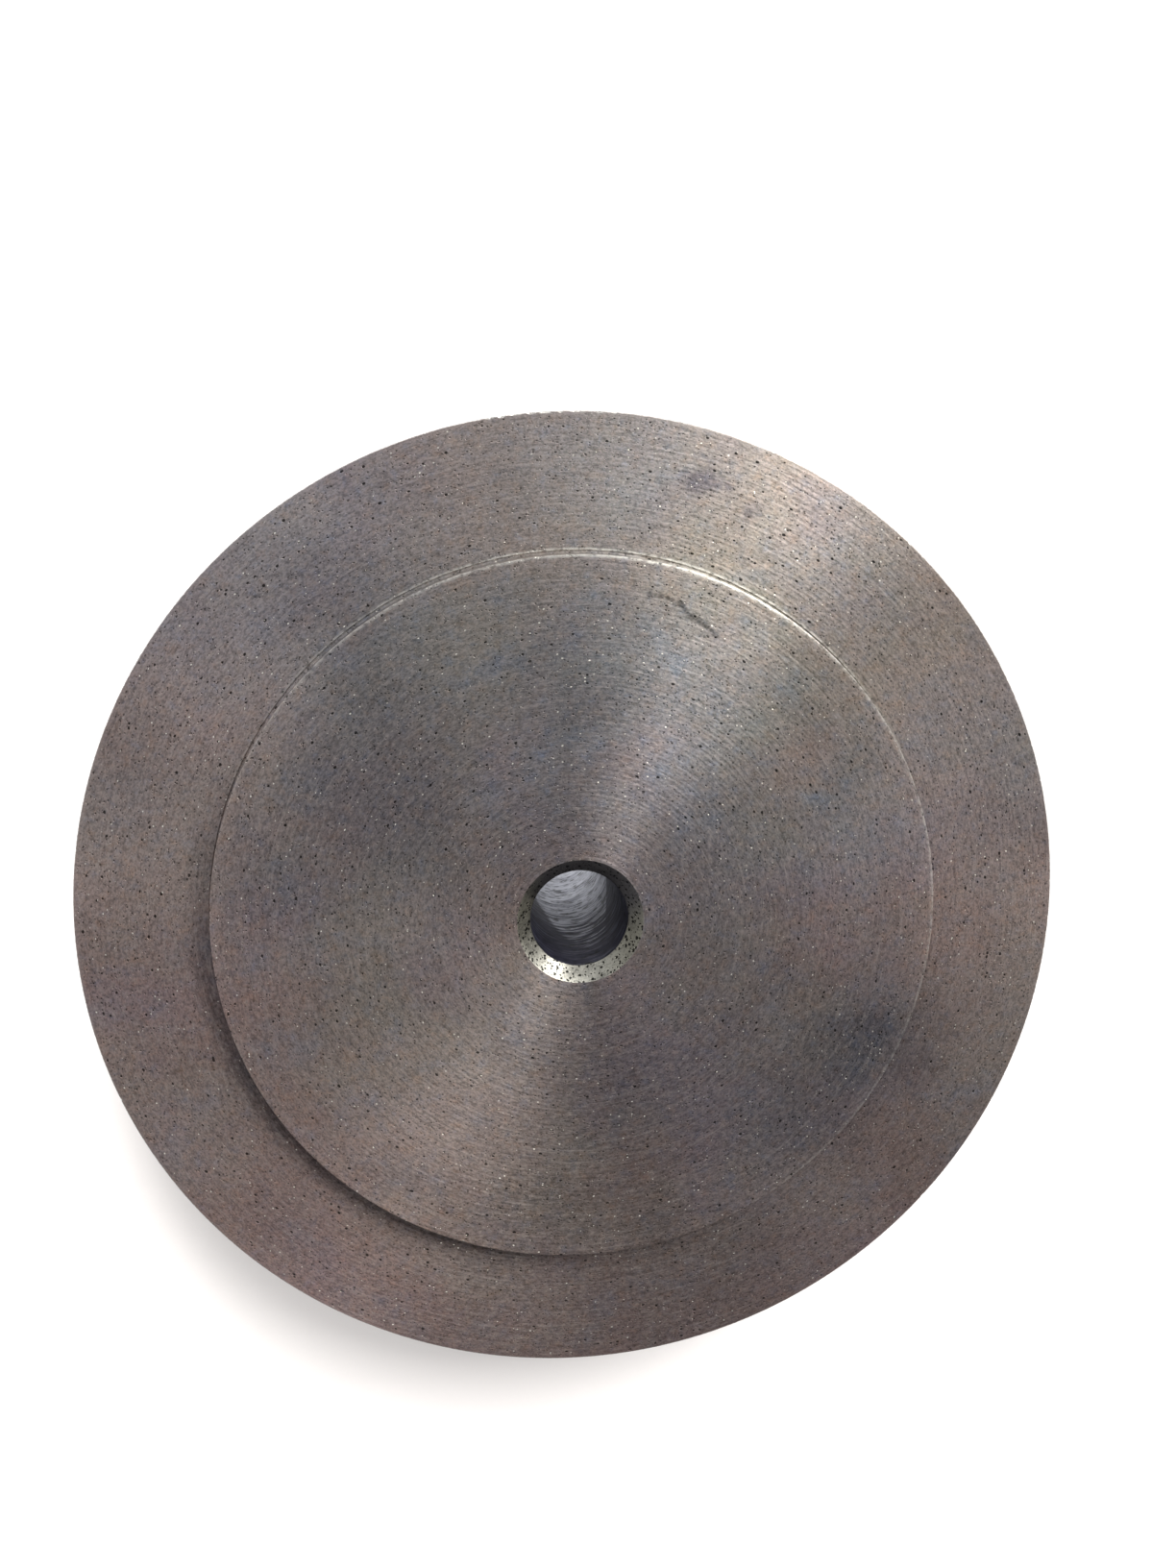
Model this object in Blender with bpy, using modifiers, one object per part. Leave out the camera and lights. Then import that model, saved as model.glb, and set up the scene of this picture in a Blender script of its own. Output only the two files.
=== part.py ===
"""A cast-iron banding wheel: a turned wheel head on two ball bearings in a round pedestal.

Metres, +Z up. The origin is on the wheel's axis, on the surface that the rubber feet stand on.
"""

import math

import bmesh
import bpy
from mathutils import Matrix, Vector

MM = 0.001
GAP = 0.3 * MM  # between pieces that touch
CUT_THROUGH = 4  # a cutter's length, in thicknesses of the wall it goes through

# Wheel head
HEAD_RADIUS = 75 * MM
HEAD_TOP = 88 * MM
CENTRE_RADIUS = 0.731 * HEAD_RADIUS
CENTRE_HEIGHT = 0.045 * HEAD_RADIUS
FOOT_LINE_RADIUS = 0.737 * HEAD_RADIUS
FOOT_LINE_DEPTH = 0.2 * MM
FLANGE_THICKNESS = 9 * MM
RIM_CHAMFER = 0.5 * MM
BORE_RADIUS = 7.5 * MM
BORE_CHAMFER = 2.1 * MM
BORE_LENGTH = 62 * MM
HUB_RADIUS = 18.5 * MM
HUB_FILLET = 3 * MM
HUB_STEP_RADIUS = 16.4 * MM
HUB_STEP_HEIGHT = 1 * MM
JOURNAL_CHAMFER = 0.8 * MM

# Ball bearings, 25 x 52 x 15 mm
JOURNAL_RADIUS = 12.5 * MM
BEARING_RADIUS = 26 * MM
BEARING_WIDTH = 15 * MM
PITCH_RADIUS = 19.52 * MM
BALL_RADIUS = 3.969 * MM
BALL_COUNT = 9
INNER_LAND_RADIUS = 17 * MM
OUTER_LAND_RADIUS = 22.3 * MM
RACE_CHAMFER = 0.8 * MM
CAGE_THICKNESS = 1.6 * MM
CAGE_HEIGHT = 9.8 * MM
POCKET_CLEARANCE = 0.35 * MM
SHIELD_THICKNESS = 0.7 * MM
SHIELD_OFFSET = 6.1 * MM  # from the bearing's middle plane

# Stack along the journal, from the hub's shoulder down
UPPER_BEARING_TOP = 69 * MM
SPACER_LENGTH = 8 * MM
SPACER_RADIUS = 15.8 * MM
WASHER_THICKNESS = 2 * MM
WASHER_RADIUS = 17 * MM
RING_THICKNESS = 1.2 * MM
RING_RADIUS = 15.3 * MM
RING_GROOVE_RADIUS = 11.95 * MM
RING_GAP = 6 * MM
RING_LUG_RADIUS = 2 * MM
RING_LUG_HOLE_RADIUS = 1 * MM
RING_LUG_TRIM = 0.4 * MM  # how far the opening cuts into each lug

# Pedestal
HOUSING_TOP = 72 * MM
COLLAR_RADIUS = 35.5 * MM
COLLAR_HEIGHT = 8 * MM
COLUMN_RADIUS = 33.5 * MM
COLUMN_BOTTOM = 38 * MM
BASE_RADIUS = 62 * MM
BASE_EDGE_RADIUS = 3.5 * MM
BASE_EDGE_TOP = 15.5 * MM
BASE_BOTTOM = 7 * MM
EDGE_CHAMFER = 0.8 * MM
SHOULDER_RADIUS = 23 * MM
LOWER_SEAT_BOTTOM = 28 * MM
HOLLOW_RADIUS = 40 * MM
HOLLOW_WALL_TOP = 13 * MM
HOLLOW_TOP_RADIUS = 30 * MM
HOLLOW_TOP = 24.5 * MM

# Seal at the housing's mouth
FELT_THICKNESS = 1.5 * MM
RETAINER_THICKNESS = 0.9 * MM
RETAINER_INNER_RADIUS = 20.5 * MM
SEAL_CLEARANCE = 0.5 * MM

# Cover, feet and screws
COVER_RADIUS = 58 * MM
COVER_THICKNESS = 2 * MM
COVER_HOLE_RADIUS = 13 * MM
FOOT_COUNT = 3
FOOT_CIRCLE_RADIUS = 49 * MM
FOOT_START = math.radians(90)
FOOT_RADIUS = 7.5 * MM
FOOT_TAPER = 1 * MM
FOOT_RECESS_RADIUS = 4.5 * MM
FOOT_WEB = 1.2 * MM
SCREW_RADIUS = 2 * MM
SCREW_HEAD_RADIUS = 3.8 * MM
SCREW_HEAD_HEIGHT = 2 * MM
SCREW_LENGTH = 10 * MM
SCREW_TIP_INSET = 0.5 * MM
SCREW_TIP_HEIGHT = 0.7 * MM
SCREW_HOLE_RADIUS = 2.35 * MM
SCREW_HOLE_DEPTH = 6.8 * MM  # into the pedestal

# Facets round a full turn
LARGE_STEPS = 48
MEDIUM_STEPS = 32
BEARING_STEPS = 24
FOOT_STEPS = 20
SCREW_STEPS = 12
POCKET_STEPS = 10
BALL_STEPS = 10
BALL_RINGS = 6
FLARE_STEPS = 6
SHARP_ANGLE = math.radians(32)

COLLECTION_NAME = "banding_wheel"
CUTTER_COLLECTION_NAME = "cutters"


def clear_scene():
    for thing in list(bpy.data.objects):
        bpy.data.objects.remove(thing, do_unlink=True)


def new_collection(name):
    collection = bpy.data.collections.new(name)
    bpy.context.scene.collection.children.link(collection)
    return collection


def new_material(name, colour, roughness, metallic):
    material = bpy.data.materials.new(name)
    material.use_nodes = True
    shader = material.node_tree.nodes["Principled BSDF"]
    shader.inputs["Base Color"].default_value = (*colour, 1.0)
    shader.inputs["Roughness"].default_value = roughness
    shader.inputs["Metallic"].default_value = metallic
    return material


def smooth(mesh):
    mesh.shade_smooth()
    mesh.set_sharp_from_angle(angle=SHARP_ANGLE)


def place_empty(name, height, collection):
    """An empty on the wheel's axis, for the pieces that turn about it."""
    empty = bpy.data.objects.new(name, None)
    empty.location = (0, 0, height)
    collection.objects.link(empty)
    bpy.context.view_layer.update()
    return empty


def hang(thing, axis):
    """Parents the object to the axis empty that it turns about, without moving it."""
    thing.parent = axis
    thing.matrix_parent_inverse = axis.matrix_world.inverted()


def place(mesh, name, material, collection, location=(0, 0, 0), axis=None):
    thing = bpy.data.objects.new(name, mesh)
    collection.objects.link(thing)
    thing.location = location
    if axis:
        hang(thing, axis)
    if material and not mesh.materials:
        mesh.materials.append(material)
    return thing


def evaluated_mesh(thing):
    """The object's mesh with its modifiers applied. The object itself is removed."""
    bpy.context.view_layer.update()
    graph = bpy.context.evaluated_depsgraph_get()
    mesh = bpy.data.meshes.new_from_object(thing.evaluated_get(graph))
    bpy.data.objects.remove(thing, do_unlink=True)
    return mesh


def turned_mesh(name, profile, steps, ring=True):
    """A profile of (radius, height) points, down the outer side, spun about Z.

    A ring's profile is closed and keeps off the axis. Any other profile starts and ends on it.
    """
    outline = bmesh.new()
    points = [outline.verts.new((radius, 0, height)) for radius, height in profile]
    for first, second in zip(points, points[1:]):
        outline.edges.new((first, second))
    if ring:
        outline.edges.new((points[-1], points[0]))
    mesh = bpy.data.meshes.new(name + "_profile")
    outline.to_mesh(mesh)
    outline.free()
    thing = place(mesh, name + "_profile", None, bpy.context.scene.collection)
    screw = thing.modifiers.new("Screw", "SCREW")
    screw.steps = steps
    screw.render_steps = steps
    screw.use_merge_vertices = not ring
    screw.merge_threshold = 0.01 * MM
    result = evaluated_mesh(thing)
    result.name = name
    smooth(result)
    return result


def cylinder_mesh(name, radius, depth, steps, transform):
    """A closed cylinder along Z, centred on the origin, then moved by the transform."""
    shape = bmesh.new()
    bmesh.ops.create_cone(
        shape,
        cap_ends=True,
        segments=steps,
        radius1=radius,
        radius2=radius,
        depth=depth,
        matrix=transform,
    )
    mesh = bpy.data.meshes.new(name)
    shape.to_mesh(mesh)
    shape.free()
    return mesh


def boolean(thing, operation, mesh, cutters):
    """Joins a closed mesh to the object, or cuts it away, and applies the result."""
    other = place(mesh, mesh.name, None, cutters)
    other.hide_render = True
    other.display_type = "WIRE"
    modifier = thing.modifiers.new("Boolean", "BOOLEAN")
    modifier.operation = operation
    modifier.object = other
    bpy.context.view_layer.update()
    graph = bpy.context.evaluated_depsgraph_get()
    result = bpy.data.meshes.new_from_object(thing.evaluated_get(graph))
    thing.modifiers.remove(modifier)
    bpy.data.objects.remove(other, do_unlink=True)
    result.name = thing.name
    smooth(result)
    thing.data = result


def arc(centre, radius, start, end, count):
    """Points on an arc in the (radius, height) plane, with angles in degrees."""
    angles = [math.radians(start + (end - start) * i / (count - 1)) for i in range(count)]
    return [
        (centre[0] + radius * math.cos(angle), centre[1] + radius * math.sin(angle))
        for angle in angles
    ]


def tube_profile(inner, outer, bottom, top):
    return [(outer, top), (outer, bottom), (inner, bottom), (inner, top)]


def around(count, radius, start=0.0):
    """Angle and centre of each of count places on a circle about the axis."""
    for i in range(count):
        angle = start + 2 * math.pi * i / count
        yield i + 1, angle, Vector((radius * math.cos(angle), radius * math.sin(angle), 0))


def make_wheel_head(material, collection, axis):
    """Flange, raised centre, hub and hollow journal in one casting."""
    flange_top = HEAD_TOP - CENTRE_HEIGHT
    flange_bottom = flange_top - FLANGE_THICKNESS
    journal_end = HEAD_TOP - BORE_LENGTH
    shoulder = UPPER_BEARING_TOP
    ring_top = ring_level() + RING_THICKNESS + GAP
    ring_bottom = ring_level() - GAP
    fillet_centre = (HUB_RADIUS + HUB_FILLET, flange_bottom - HUB_FILLET)
    profile = [
        (BORE_RADIUS + BORE_CHAMFER, HEAD_TOP),
        (CENTRE_RADIUS, HEAD_TOP),
        (CENTRE_RADIUS, flange_top - FOOT_LINE_DEPTH),
        (FOOT_LINE_RADIUS, flange_top - FOOT_LINE_DEPTH),
        (FOOT_LINE_RADIUS, flange_top),
        (HEAD_RADIUS - RIM_CHAMFER, flange_top),
        (HEAD_RADIUS, flange_top - RIM_CHAMFER),
        (HEAD_RADIUS, flange_bottom + RIM_CHAMFER),
        (HEAD_RADIUS - RIM_CHAMFER, flange_bottom),
        *arc(fillet_centre, HUB_FILLET, 90, 180, 3),
        (HUB_RADIUS, shoulder + HUB_STEP_HEIGHT),
        (HUB_STEP_RADIUS, shoulder + HUB_STEP_HEIGHT),
        (HUB_STEP_RADIUS, shoulder),
        (JOURNAL_RADIUS, shoulder),
        (JOURNAL_RADIUS, ring_top),
        (RING_GROOVE_RADIUS, ring_top),
        (RING_GROOVE_RADIUS, ring_bottom),
        (JOURNAL_RADIUS, ring_bottom),
        (JOURNAL_RADIUS, journal_end + JOURNAL_CHAMFER),
        (JOURNAL_RADIUS - JOURNAL_CHAMFER, journal_end),
        (BORE_RADIUS + JOURNAL_CHAMFER, journal_end),
        (BORE_RADIUS, journal_end + JOURNAL_CHAMFER),
        (BORE_RADIUS, HEAD_TOP - BORE_CHAMFER),
    ]
    mesh = turned_mesh("wheel_head", profile, LARGE_STEPS)
    place(mesh, "wheel_head", material, collection, axis=axis)


def lower_bearing_top():
    return UPPER_BEARING_TOP - BEARING_WIDTH - SPACER_LENGTH


def washer_top():
    return lower_bearing_top() - BEARING_WIDTH


def ring_level():
    """Underside of the retaining ring."""
    return washer_top() - WASHER_THICKNESS - GAP - RING_THICKNESS


def make_pedestal(material, collection, cutters):
    """Round foot, flared column and bearing housing in one casting, with the foot screws' holes."""
    seat = BEARING_RADIUS + GAP
    shoulder_top = UPPER_BEARING_TOP - BEARING_WIDTH
    shoulder_bottom = lower_bearing_top()
    collar_bottom = HOUSING_TOP - COLLAR_HEIGHT
    edge = (BASE_RADIUS - BASE_EDGE_RADIUS, BASE_EDGE_TOP - BASE_EDGE_RADIUS)
    flare_width = BASE_RADIUS - BASE_EDGE_RADIUS - COLUMN_RADIUS
    flare_height = COLUMN_BOTTOM - BASE_EDGE_TOP
    flare = [
        (
            COLUMN_RADIUS + flare_width * (1 - math.cos(angle)),
            COLUMN_BOTTOM - flare_height * math.sin(angle),
        )
        for angle in [math.radians(90) * i / FLARE_STEPS for i in range(FLARE_STEPS)]
    ]
    profile = [
        (seat + EDGE_CHAMFER, HOUSING_TOP),
        (COLLAR_RADIUS - EDGE_CHAMFER, HOUSING_TOP),
        (COLLAR_RADIUS, HOUSING_TOP - EDGE_CHAMFER),
        (COLLAR_RADIUS, collar_bottom),
        (COLUMN_RADIUS, collar_bottom + COLUMN_RADIUS - COLLAR_RADIUS),
        *flare,
        *arc(edge, BASE_EDGE_RADIUS, 90, 0, 3),
        (BASE_RADIUS, BASE_BOTTOM + EDGE_CHAMFER),
        (BASE_RADIUS - EDGE_CHAMFER, BASE_BOTTOM),
        (HOLLOW_RADIUS, BASE_BOTTOM),
        (HOLLOW_RADIUS, HOLLOW_WALL_TOP),
        (HOLLOW_TOP_RADIUS, HOLLOW_TOP),
        (seat, LOWER_SEAT_BOTTOM),
        (seat, shoulder_bottom),
        (SHOULDER_RADIUS, shoulder_bottom),
        (SHOULDER_RADIUS, shoulder_top),
        (seat, shoulder_top),
        (seat, HOUSING_TOP - EDGE_CHAMFER),
    ]
    mesh = turned_mesh("pedestal_base", profile, LARGE_STEPS)
    pedestal = place(mesh, "pedestal_base", material, collection)
    depth = 2 * SCREW_HOLE_DEPTH
    for i, _, centre in around(FOOT_COUNT, FOOT_CIRCLE_RADIUS, FOOT_START):
        middle = Matrix.Translation(centre + Vector((0, 0, BASE_BOTTOM)))
        hole = cylinder_mesh(f"screw_hole_{i}", SCREW_HOLE_RADIUS, depth, SCREW_STEPS, middle)
        boolean(pedestal, "DIFFERENCE", hole, cutters)


def race_groove(side, count=5):
    """The ball groove as an arc. Side is 1 for the outer race and -1 for the inner one."""
    radius = BALL_RADIUS + GAP
    land = OUTER_LAND_RADIUS if side > 0 else INNER_LAND_RADIUS
    half_angle = math.degrees(math.acos(abs(land - PITCH_RADIUS) / radius))
    middle = 0 if side > 0 else 180
    return arc((PITCH_RADIUS, 0), radius, middle - half_angle, middle + half_angle, count)


def make_bearing(prefix, top, steel, cage_metal, collection, cutters, head_axis, ball_axis):
    """Outer race and shields on the pedestal, inner race on the journal, balls and cage between."""
    middle = top - BEARING_WIDTH / 2
    place_at = (0, 0, middle)
    half = BEARING_WIDTH / 2 - GAP
    outer = [
        (BEARING_RADIUS - RACE_CHAMFER, half),
        (BEARING_RADIUS, half - RACE_CHAMFER),
        (BEARING_RADIUS, RACE_CHAMFER - half),
        (BEARING_RADIUS - RACE_CHAMFER, -half),
        (OUTER_LAND_RADIUS, -half),
        *race_groove(1),
        (OUTER_LAND_RADIUS, half),
    ]
    mesh = turned_mesh(f"{prefix}_outer_race", outer, BEARING_STEPS)
    place(mesh, f"{prefix}_outer_race", steel, collection, place_at)

    bore = JOURNAL_RADIUS + GAP
    inner = [
        (INNER_LAND_RADIUS, half),
        *race_groove(-1),
        (INNER_LAND_RADIUS, -half),
        (bore + RACE_CHAMFER, -half),
        (bore, RACE_CHAMFER - half),
        (bore, half - RACE_CHAMFER),
        (bore + RACE_CHAMFER, half),
    ]
    mesh = turned_mesh(f"{prefix}_inner_race", inner, BEARING_STEPS)
    place(mesh, f"{prefix}_inner_race", steel, collection, place_at, head_axis)

    cage_profile = tube_profile(
        PITCH_RADIUS - CAGE_THICKNESS / 2,
        PITCH_RADIUS + CAGE_THICKNESS / 2,
        -CAGE_HEIGHT / 2,
        CAGE_HEIGHT / 2,
    )
    mesh = turned_mesh(f"{prefix}_cage", cage_profile, 3 * BALL_COUNT)
    cage = place(mesh, f"{prefix}_cage", cage_metal, collection)
    ball_shape = bmesh.new()
    bmesh.ops.create_uvsphere(
        ball_shape, u_segments=BALL_STEPS, v_segments=BALL_RINGS, radius=BALL_RADIUS
    )
    ball_mesh = bpy.data.meshes.new(f"{prefix}_ball")
    ball_shape.to_mesh(ball_mesh)
    ball_shape.free()
    smooth(ball_mesh)
    for i, angle, centre in around(BALL_COUNT, PITCH_RADIUS):
        outward = Matrix.Rotation(angle, 4, "Z") @ Matrix.Rotation(math.radians(90), 4, "Y")
        pocket = cylinder_mesh(
            f"{prefix}_pocket_{i}",
            BALL_RADIUS + POCKET_CLEARANCE,
            CUT_THROUGH * CAGE_THICKNESS,
            POCKET_STEPS,
            Matrix.Translation(centre) @ outward,
        )
        boolean(cage, "DIFFERENCE", pocket, cutters)
        location = centre + Vector(place_at)
        place(ball_mesh, f"{prefix}_ball_{i}", steel, collection, location, ball_axis)
    cage.location = place_at
    hang(cage, ball_axis)

    for side, level in (("top", SHIELD_OFFSET), ("bottom", -SHIELD_OFFSET)):
        ring = tube_profile(
            INNER_LAND_RADIUS + SEAL_CLEARANCE,
            OUTER_LAND_RADIUS - GAP,
            level - SHIELD_THICKNESS / 2,
            level + SHIELD_THICKNESS / 2,
        )
        name = f"{prefix}_shield_{side}"
        place(turned_mesh(name, ring, BEARING_STEPS), name, steel, collection, place_at)


def make_journal_parts(steel, spring_steel, collection, cutters, axis):
    """Spacer sleeve, washer and retaining ring, which turn with the head."""
    bore = JOURNAL_RADIUS + GAP
    sleeve_top = UPPER_BEARING_TOP - BEARING_WIDTH
    sleeve = tube_profile(bore, SPACER_RADIUS, lower_bearing_top(), sleeve_top)
    mesh = turned_mesh("spacer_sleeve", sleeve, BEARING_STEPS)
    place(mesh, "spacer_sleeve", steel, collection, axis=axis)

    washer = tube_profile(bore, WASHER_RADIUS, washer_top() - WASHER_THICKNESS, washer_top())
    mesh = turned_mesh("end_washer", washer, BEARING_STEPS)
    place(mesh, "end_washer", steel, collection, axis=axis)

    level = ring_level()
    ring_profile = tube_profile(RING_GROOVE_RADIUS + GAP, RING_RADIUS, level, level + RING_THICKNESS)
    mesh = turned_mesh("retaining_ring", ring_profile, BEARING_STEPS)
    ring = place(mesh, "retaining_ring", spring_steel, collection)
    middle = level + RING_THICKNESS / 2
    lug_offset = RING_GAP / 2 + RING_LUG_RADIUS - RING_LUG_TRIM
    lug_spread = math.asin(lug_offset / RING_RADIUS)
    lug_places = [
        Matrix.Translation((RING_RADIUS * math.cos(angle), RING_RADIUS * math.sin(angle), middle))
        for angle in (-lug_spread, lug_spread)
    ]
    for spot in lug_places:
        lug = cylinder_mesh("lug", RING_LUG_RADIUS, RING_THICKNESS, SCREW_STEPS, spot)
        boolean(ring, "UNION", lug, cutters)
    opening = bmesh.new()
    bmesh.ops.create_cube(opening, size=1)
    opening_size = (RING_RADIUS, RING_GAP, CUT_THROUGH * RING_THICKNESS)
    bmesh.ops.scale(opening, vec=opening_size, verts=opening.verts)
    bmesh.ops.translate(opening, vec=(RING_RADIUS, 0, middle), verts=opening.verts)
    opening_mesh = bpy.data.meshes.new("ring_opening")
    opening.to_mesh(opening_mesh)
    opening.free()
    boolean(ring, "DIFFERENCE", opening_mesh, cutters)
    for spot in lug_places:
        hole = cylinder_mesh(
            "lug_hole", RING_LUG_HOLE_RADIUS, CUT_THROUGH * RING_THICKNESS, POCKET_STEPS, spot
        )
        boolean(ring, "DIFFERENCE", hole, cutters)
    hang(ring, axis)


def make_seal(felt, steel, collection):
    """Felt ring round the hub, and the pressed ring that holds it down."""
    felt_bottom = UPPER_BEARING_TOP + GAP
    felt_top = felt_bottom + FELT_THICKNESS
    ring = tube_profile(HUB_RADIUS + SEAL_CLEARANCE, BEARING_RADIUS, felt_bottom, felt_top)
    place(turned_mesh("felt_seal", ring, MEDIUM_STEPS), "felt_seal", felt, collection)
    bottom = felt_top + GAP
    ring = tube_profile(RETAINER_INNER_RADIUS, BEARING_RADIUS, bottom, bottom + RETAINER_THICKNESS)
    place(turned_mesh("seal_retainer", ring, MEDIUM_STEPS), "seal_retainer", steel, collection)


def make_cover(material, collection, cutters):
    top = BASE_BOTTOM - GAP
    ring = tube_profile(COVER_HOLE_RADIUS, COVER_RADIUS, top - COVER_THICKNESS, top)
    mesh = turned_mesh("bottom_cover", ring, MEDIUM_STEPS)
    cover = place(mesh, "bottom_cover", material, collection)
    for i, _, centre in around(FOOT_COUNT, FOOT_CIRCLE_RADIUS, FOOT_START):
        spot = Matrix.Translation(centre + Vector((0, 0, top)))
        hole = cylinder_mesh(
            f"cover_hole_{i}", SCREW_HOLE_RADIUS, CUT_THROUGH * COVER_THICKNESS, SCREW_STEPS, spot
        )
        boolean(cover, "DIFFERENCE", hole, cutters)


def make_feet(rubber, steel, collection):
    """Rubber feet with a screw sunk in each, which runs through the cover into the pedestal."""
    foot_top = BASE_BOTTOM - GAP - COVER_THICKNESS - GAP
    recess_top = foot_top - FOOT_WEB
    foot = [
        (FOOT_RADIUS, foot_top),
        (FOOT_RADIUS, FOOT_TAPER),
        (FOOT_RADIUS - FOOT_TAPER, 0),
        (FOOT_RECESS_RADIUS, 0),
        (FOOT_RECESS_RADIUS, recess_top),
        (SCREW_HOLE_RADIUS, recess_top),
        (SCREW_HOLE_RADIUS, foot_top),
    ]
    foot_mesh = turned_mesh("rubber_foot", foot, FOOT_STEPS)
    head_top = recess_top - GAP
    dome = SCREW_HEAD_HEIGHT / 2
    screw = [
        (0, head_top + SCREW_LENGTH),
        (SCREW_RADIUS - SCREW_TIP_INSET, head_top + SCREW_LENGTH),
        (SCREW_RADIUS, head_top + SCREW_LENGTH - SCREW_TIP_HEIGHT),
        (SCREW_RADIUS, head_top),
        (SCREW_HEAD_RADIUS, head_top),
        (SCREW_HEAD_RADIUS, head_top - dome),
        (SCREW_HEAD_RADIUS - dome, head_top - SCREW_HEAD_HEIGHT),
        (0, head_top - SCREW_HEAD_HEIGHT),
    ]
    screw_mesh = turned_mesh("foot_screw", screw, SCREW_STEPS, ring=False)
    for i, _, centre in around(FOOT_COUNT, FOOT_CIRCLE_RADIUS, FOOT_START):
        place(foot_mesh, f"rubber_foot_{i}", rubber, collection, centre)
        place(screw_mesh, f"foot_screw_{i}", steel, collection, centre)


def main():
    clear_scene()
    collection = new_collection(COLLECTION_NAME)
    cutters = new_collection(CUTTER_COLLECTION_NAME)

    turned_iron = new_material("turned_cast_iron", (0.12, 0.10, 0.095), 0.42, 0.9)
    painted_iron = new_material("painted_cast_iron", (0.035, 0.037, 0.04), 0.45, 0.0)
    bearing_steel = new_material("bearing_steel", (0.55, 0.56, 0.58), 0.22, 1.0)
    cage_steel = new_material("cage_steel", (0.45, 0.44, 0.42), 0.35, 1.0)
    spring_steel = new_material("spring_steel", (0.10, 0.10, 0.11), 0.4, 0.8)
    zinc_steel = new_material("zinc_plated_steel", (0.50, 0.50, 0.48), 0.35, 1.0)
    felt = new_material("grey_felt", (0.22, 0.21, 0.20), 0.95, 0.0)
    rubber = new_material("black_rubber", (0.02, 0.02, 0.02), 0.8, 0.0)

    head_axis = place_empty("head_axis", UPPER_BEARING_TOP, collection)
    upper_axis = place_empty("upper_ball_axis", UPPER_BEARING_TOP - BEARING_WIDTH / 2, collection)
    lower_axis = place_empty("lower_ball_axis", lower_bearing_top() - BEARING_WIDTH / 2, collection)

    make_wheel_head(turned_iron, collection, head_axis)
    make_pedestal(painted_iron, collection, cutters)
    for prefix, top, ball_axis in (
        ("upper", UPPER_BEARING_TOP, upper_axis),
        ("lower", lower_bearing_top(), lower_axis),
    ):
        make_bearing(
            prefix, top, bearing_steel, cage_steel, collection, cutters, head_axis, ball_axis
        )
    make_journal_parts(zinc_steel, spring_steel, collection, cutters, head_axis)
    make_seal(felt, zinc_steel, collection)
    make_cover(zinc_steel, collection, cutters)
    make_feet(rubber, zinc_steel, collection)


main()
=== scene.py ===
"""Looks of a cast-iron banding wheel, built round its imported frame.

Metres, +Z up. The wheel's axis is Z through the origin, and the rubber feet stand on z = 0.
"""

import math

import bmesh
import bpy
import numpy as np
from mathutils import Euler, Matrix, Vector, noise


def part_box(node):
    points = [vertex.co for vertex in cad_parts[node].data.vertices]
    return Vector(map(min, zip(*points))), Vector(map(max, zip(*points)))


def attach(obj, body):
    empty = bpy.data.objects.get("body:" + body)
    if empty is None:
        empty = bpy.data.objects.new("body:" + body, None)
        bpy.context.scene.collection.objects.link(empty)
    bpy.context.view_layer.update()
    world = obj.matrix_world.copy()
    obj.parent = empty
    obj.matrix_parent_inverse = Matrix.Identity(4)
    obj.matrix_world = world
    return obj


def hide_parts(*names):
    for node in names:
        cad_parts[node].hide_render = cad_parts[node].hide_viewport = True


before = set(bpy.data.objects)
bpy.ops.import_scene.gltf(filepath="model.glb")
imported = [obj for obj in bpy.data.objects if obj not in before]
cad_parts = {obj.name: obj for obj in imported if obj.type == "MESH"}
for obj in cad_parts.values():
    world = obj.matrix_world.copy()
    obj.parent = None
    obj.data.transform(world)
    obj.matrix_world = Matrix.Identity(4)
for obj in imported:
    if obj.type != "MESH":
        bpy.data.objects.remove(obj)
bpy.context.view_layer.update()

MM = 0.001
RACE_BORE = 12.8 * MM  # radius inside the inner races, the sleeve and the washer
SCREW_HOLE = 2.35 * MM  # radius of the foot screws' holes
TURN = 2 * math.pi
SLIVER = 0.002 * MM
# Turns a drill a little, so that its corners miss those of the mesh it cuts
OFF_CORNERS = Matrix.Rotation(math.radians(2), 4, "Z")

# ---- sizes, read from the frame

head_low, head_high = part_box("wheel_head")
HEAD_RADIUS = head_high.x
HEAD_TOP = head_high.z
JOURNAL_END = head_low.z
CENTRE_RADIUS = 0.731 * HEAD_RADIUS
FLANGE_TOP = HEAD_TOP - 0.045 * HEAD_RADIUS
FLANGE_BOTTOM = FLANGE_TOP - 9 * MM
BORE_RADIUS = 7.5 * MM
BORE_CHAMFER = 2.1 * MM
TURNING_PITCH = 0.0098 * HEAD_RADIUS


# ---- meshes


def rounded(corners, segments=4, guard=0.5 * MM):
    """A closed outline of (radius, height, fillet, wear) corners as (radius, height, wear) points.

    Wear is 1 where it is left out. It fades to 0 a guard's length away from the fillet, so that it
    stays at the corner.
    """
    points = []
    count = len(corners)
    for i, (radius, height, fillet, *rest) in enumerate(corners):
        wear = rest[0] if rest else 1.0
        corner = Vector((radius, height))
        before = Vector(corners[i - 1][:2]) - corner
        after = Vector(corners[(i + 1) % count][:2]) - corner
        half = before.angle(after, math.pi) / 2
        if fillet <= 0 or half > math.radians(89):
            points.append((radius, height, 0.0))
            continue
        reach = min(fillet / math.tan(half), 0.45 * before.length, 0.45 * after.length)
        start = corner + before.normalized() * reach
        end = corner + after.normalized() * reach
        if before.length > 2.2 * (reach + guard):
            points.append((*(start + before.normalized() * guard), 0.0))
        for step in range(segments + 1):
            t = step / segments
            spot = start.lerp(corner, t).lerp(corner.lerp(end, t), t)
            points.append((*spot, wear))
        if after.length > 2.2 * (reach + guard):
            points.append((*(end + after.normalized() * guard), 0.0))
    return points


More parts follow.
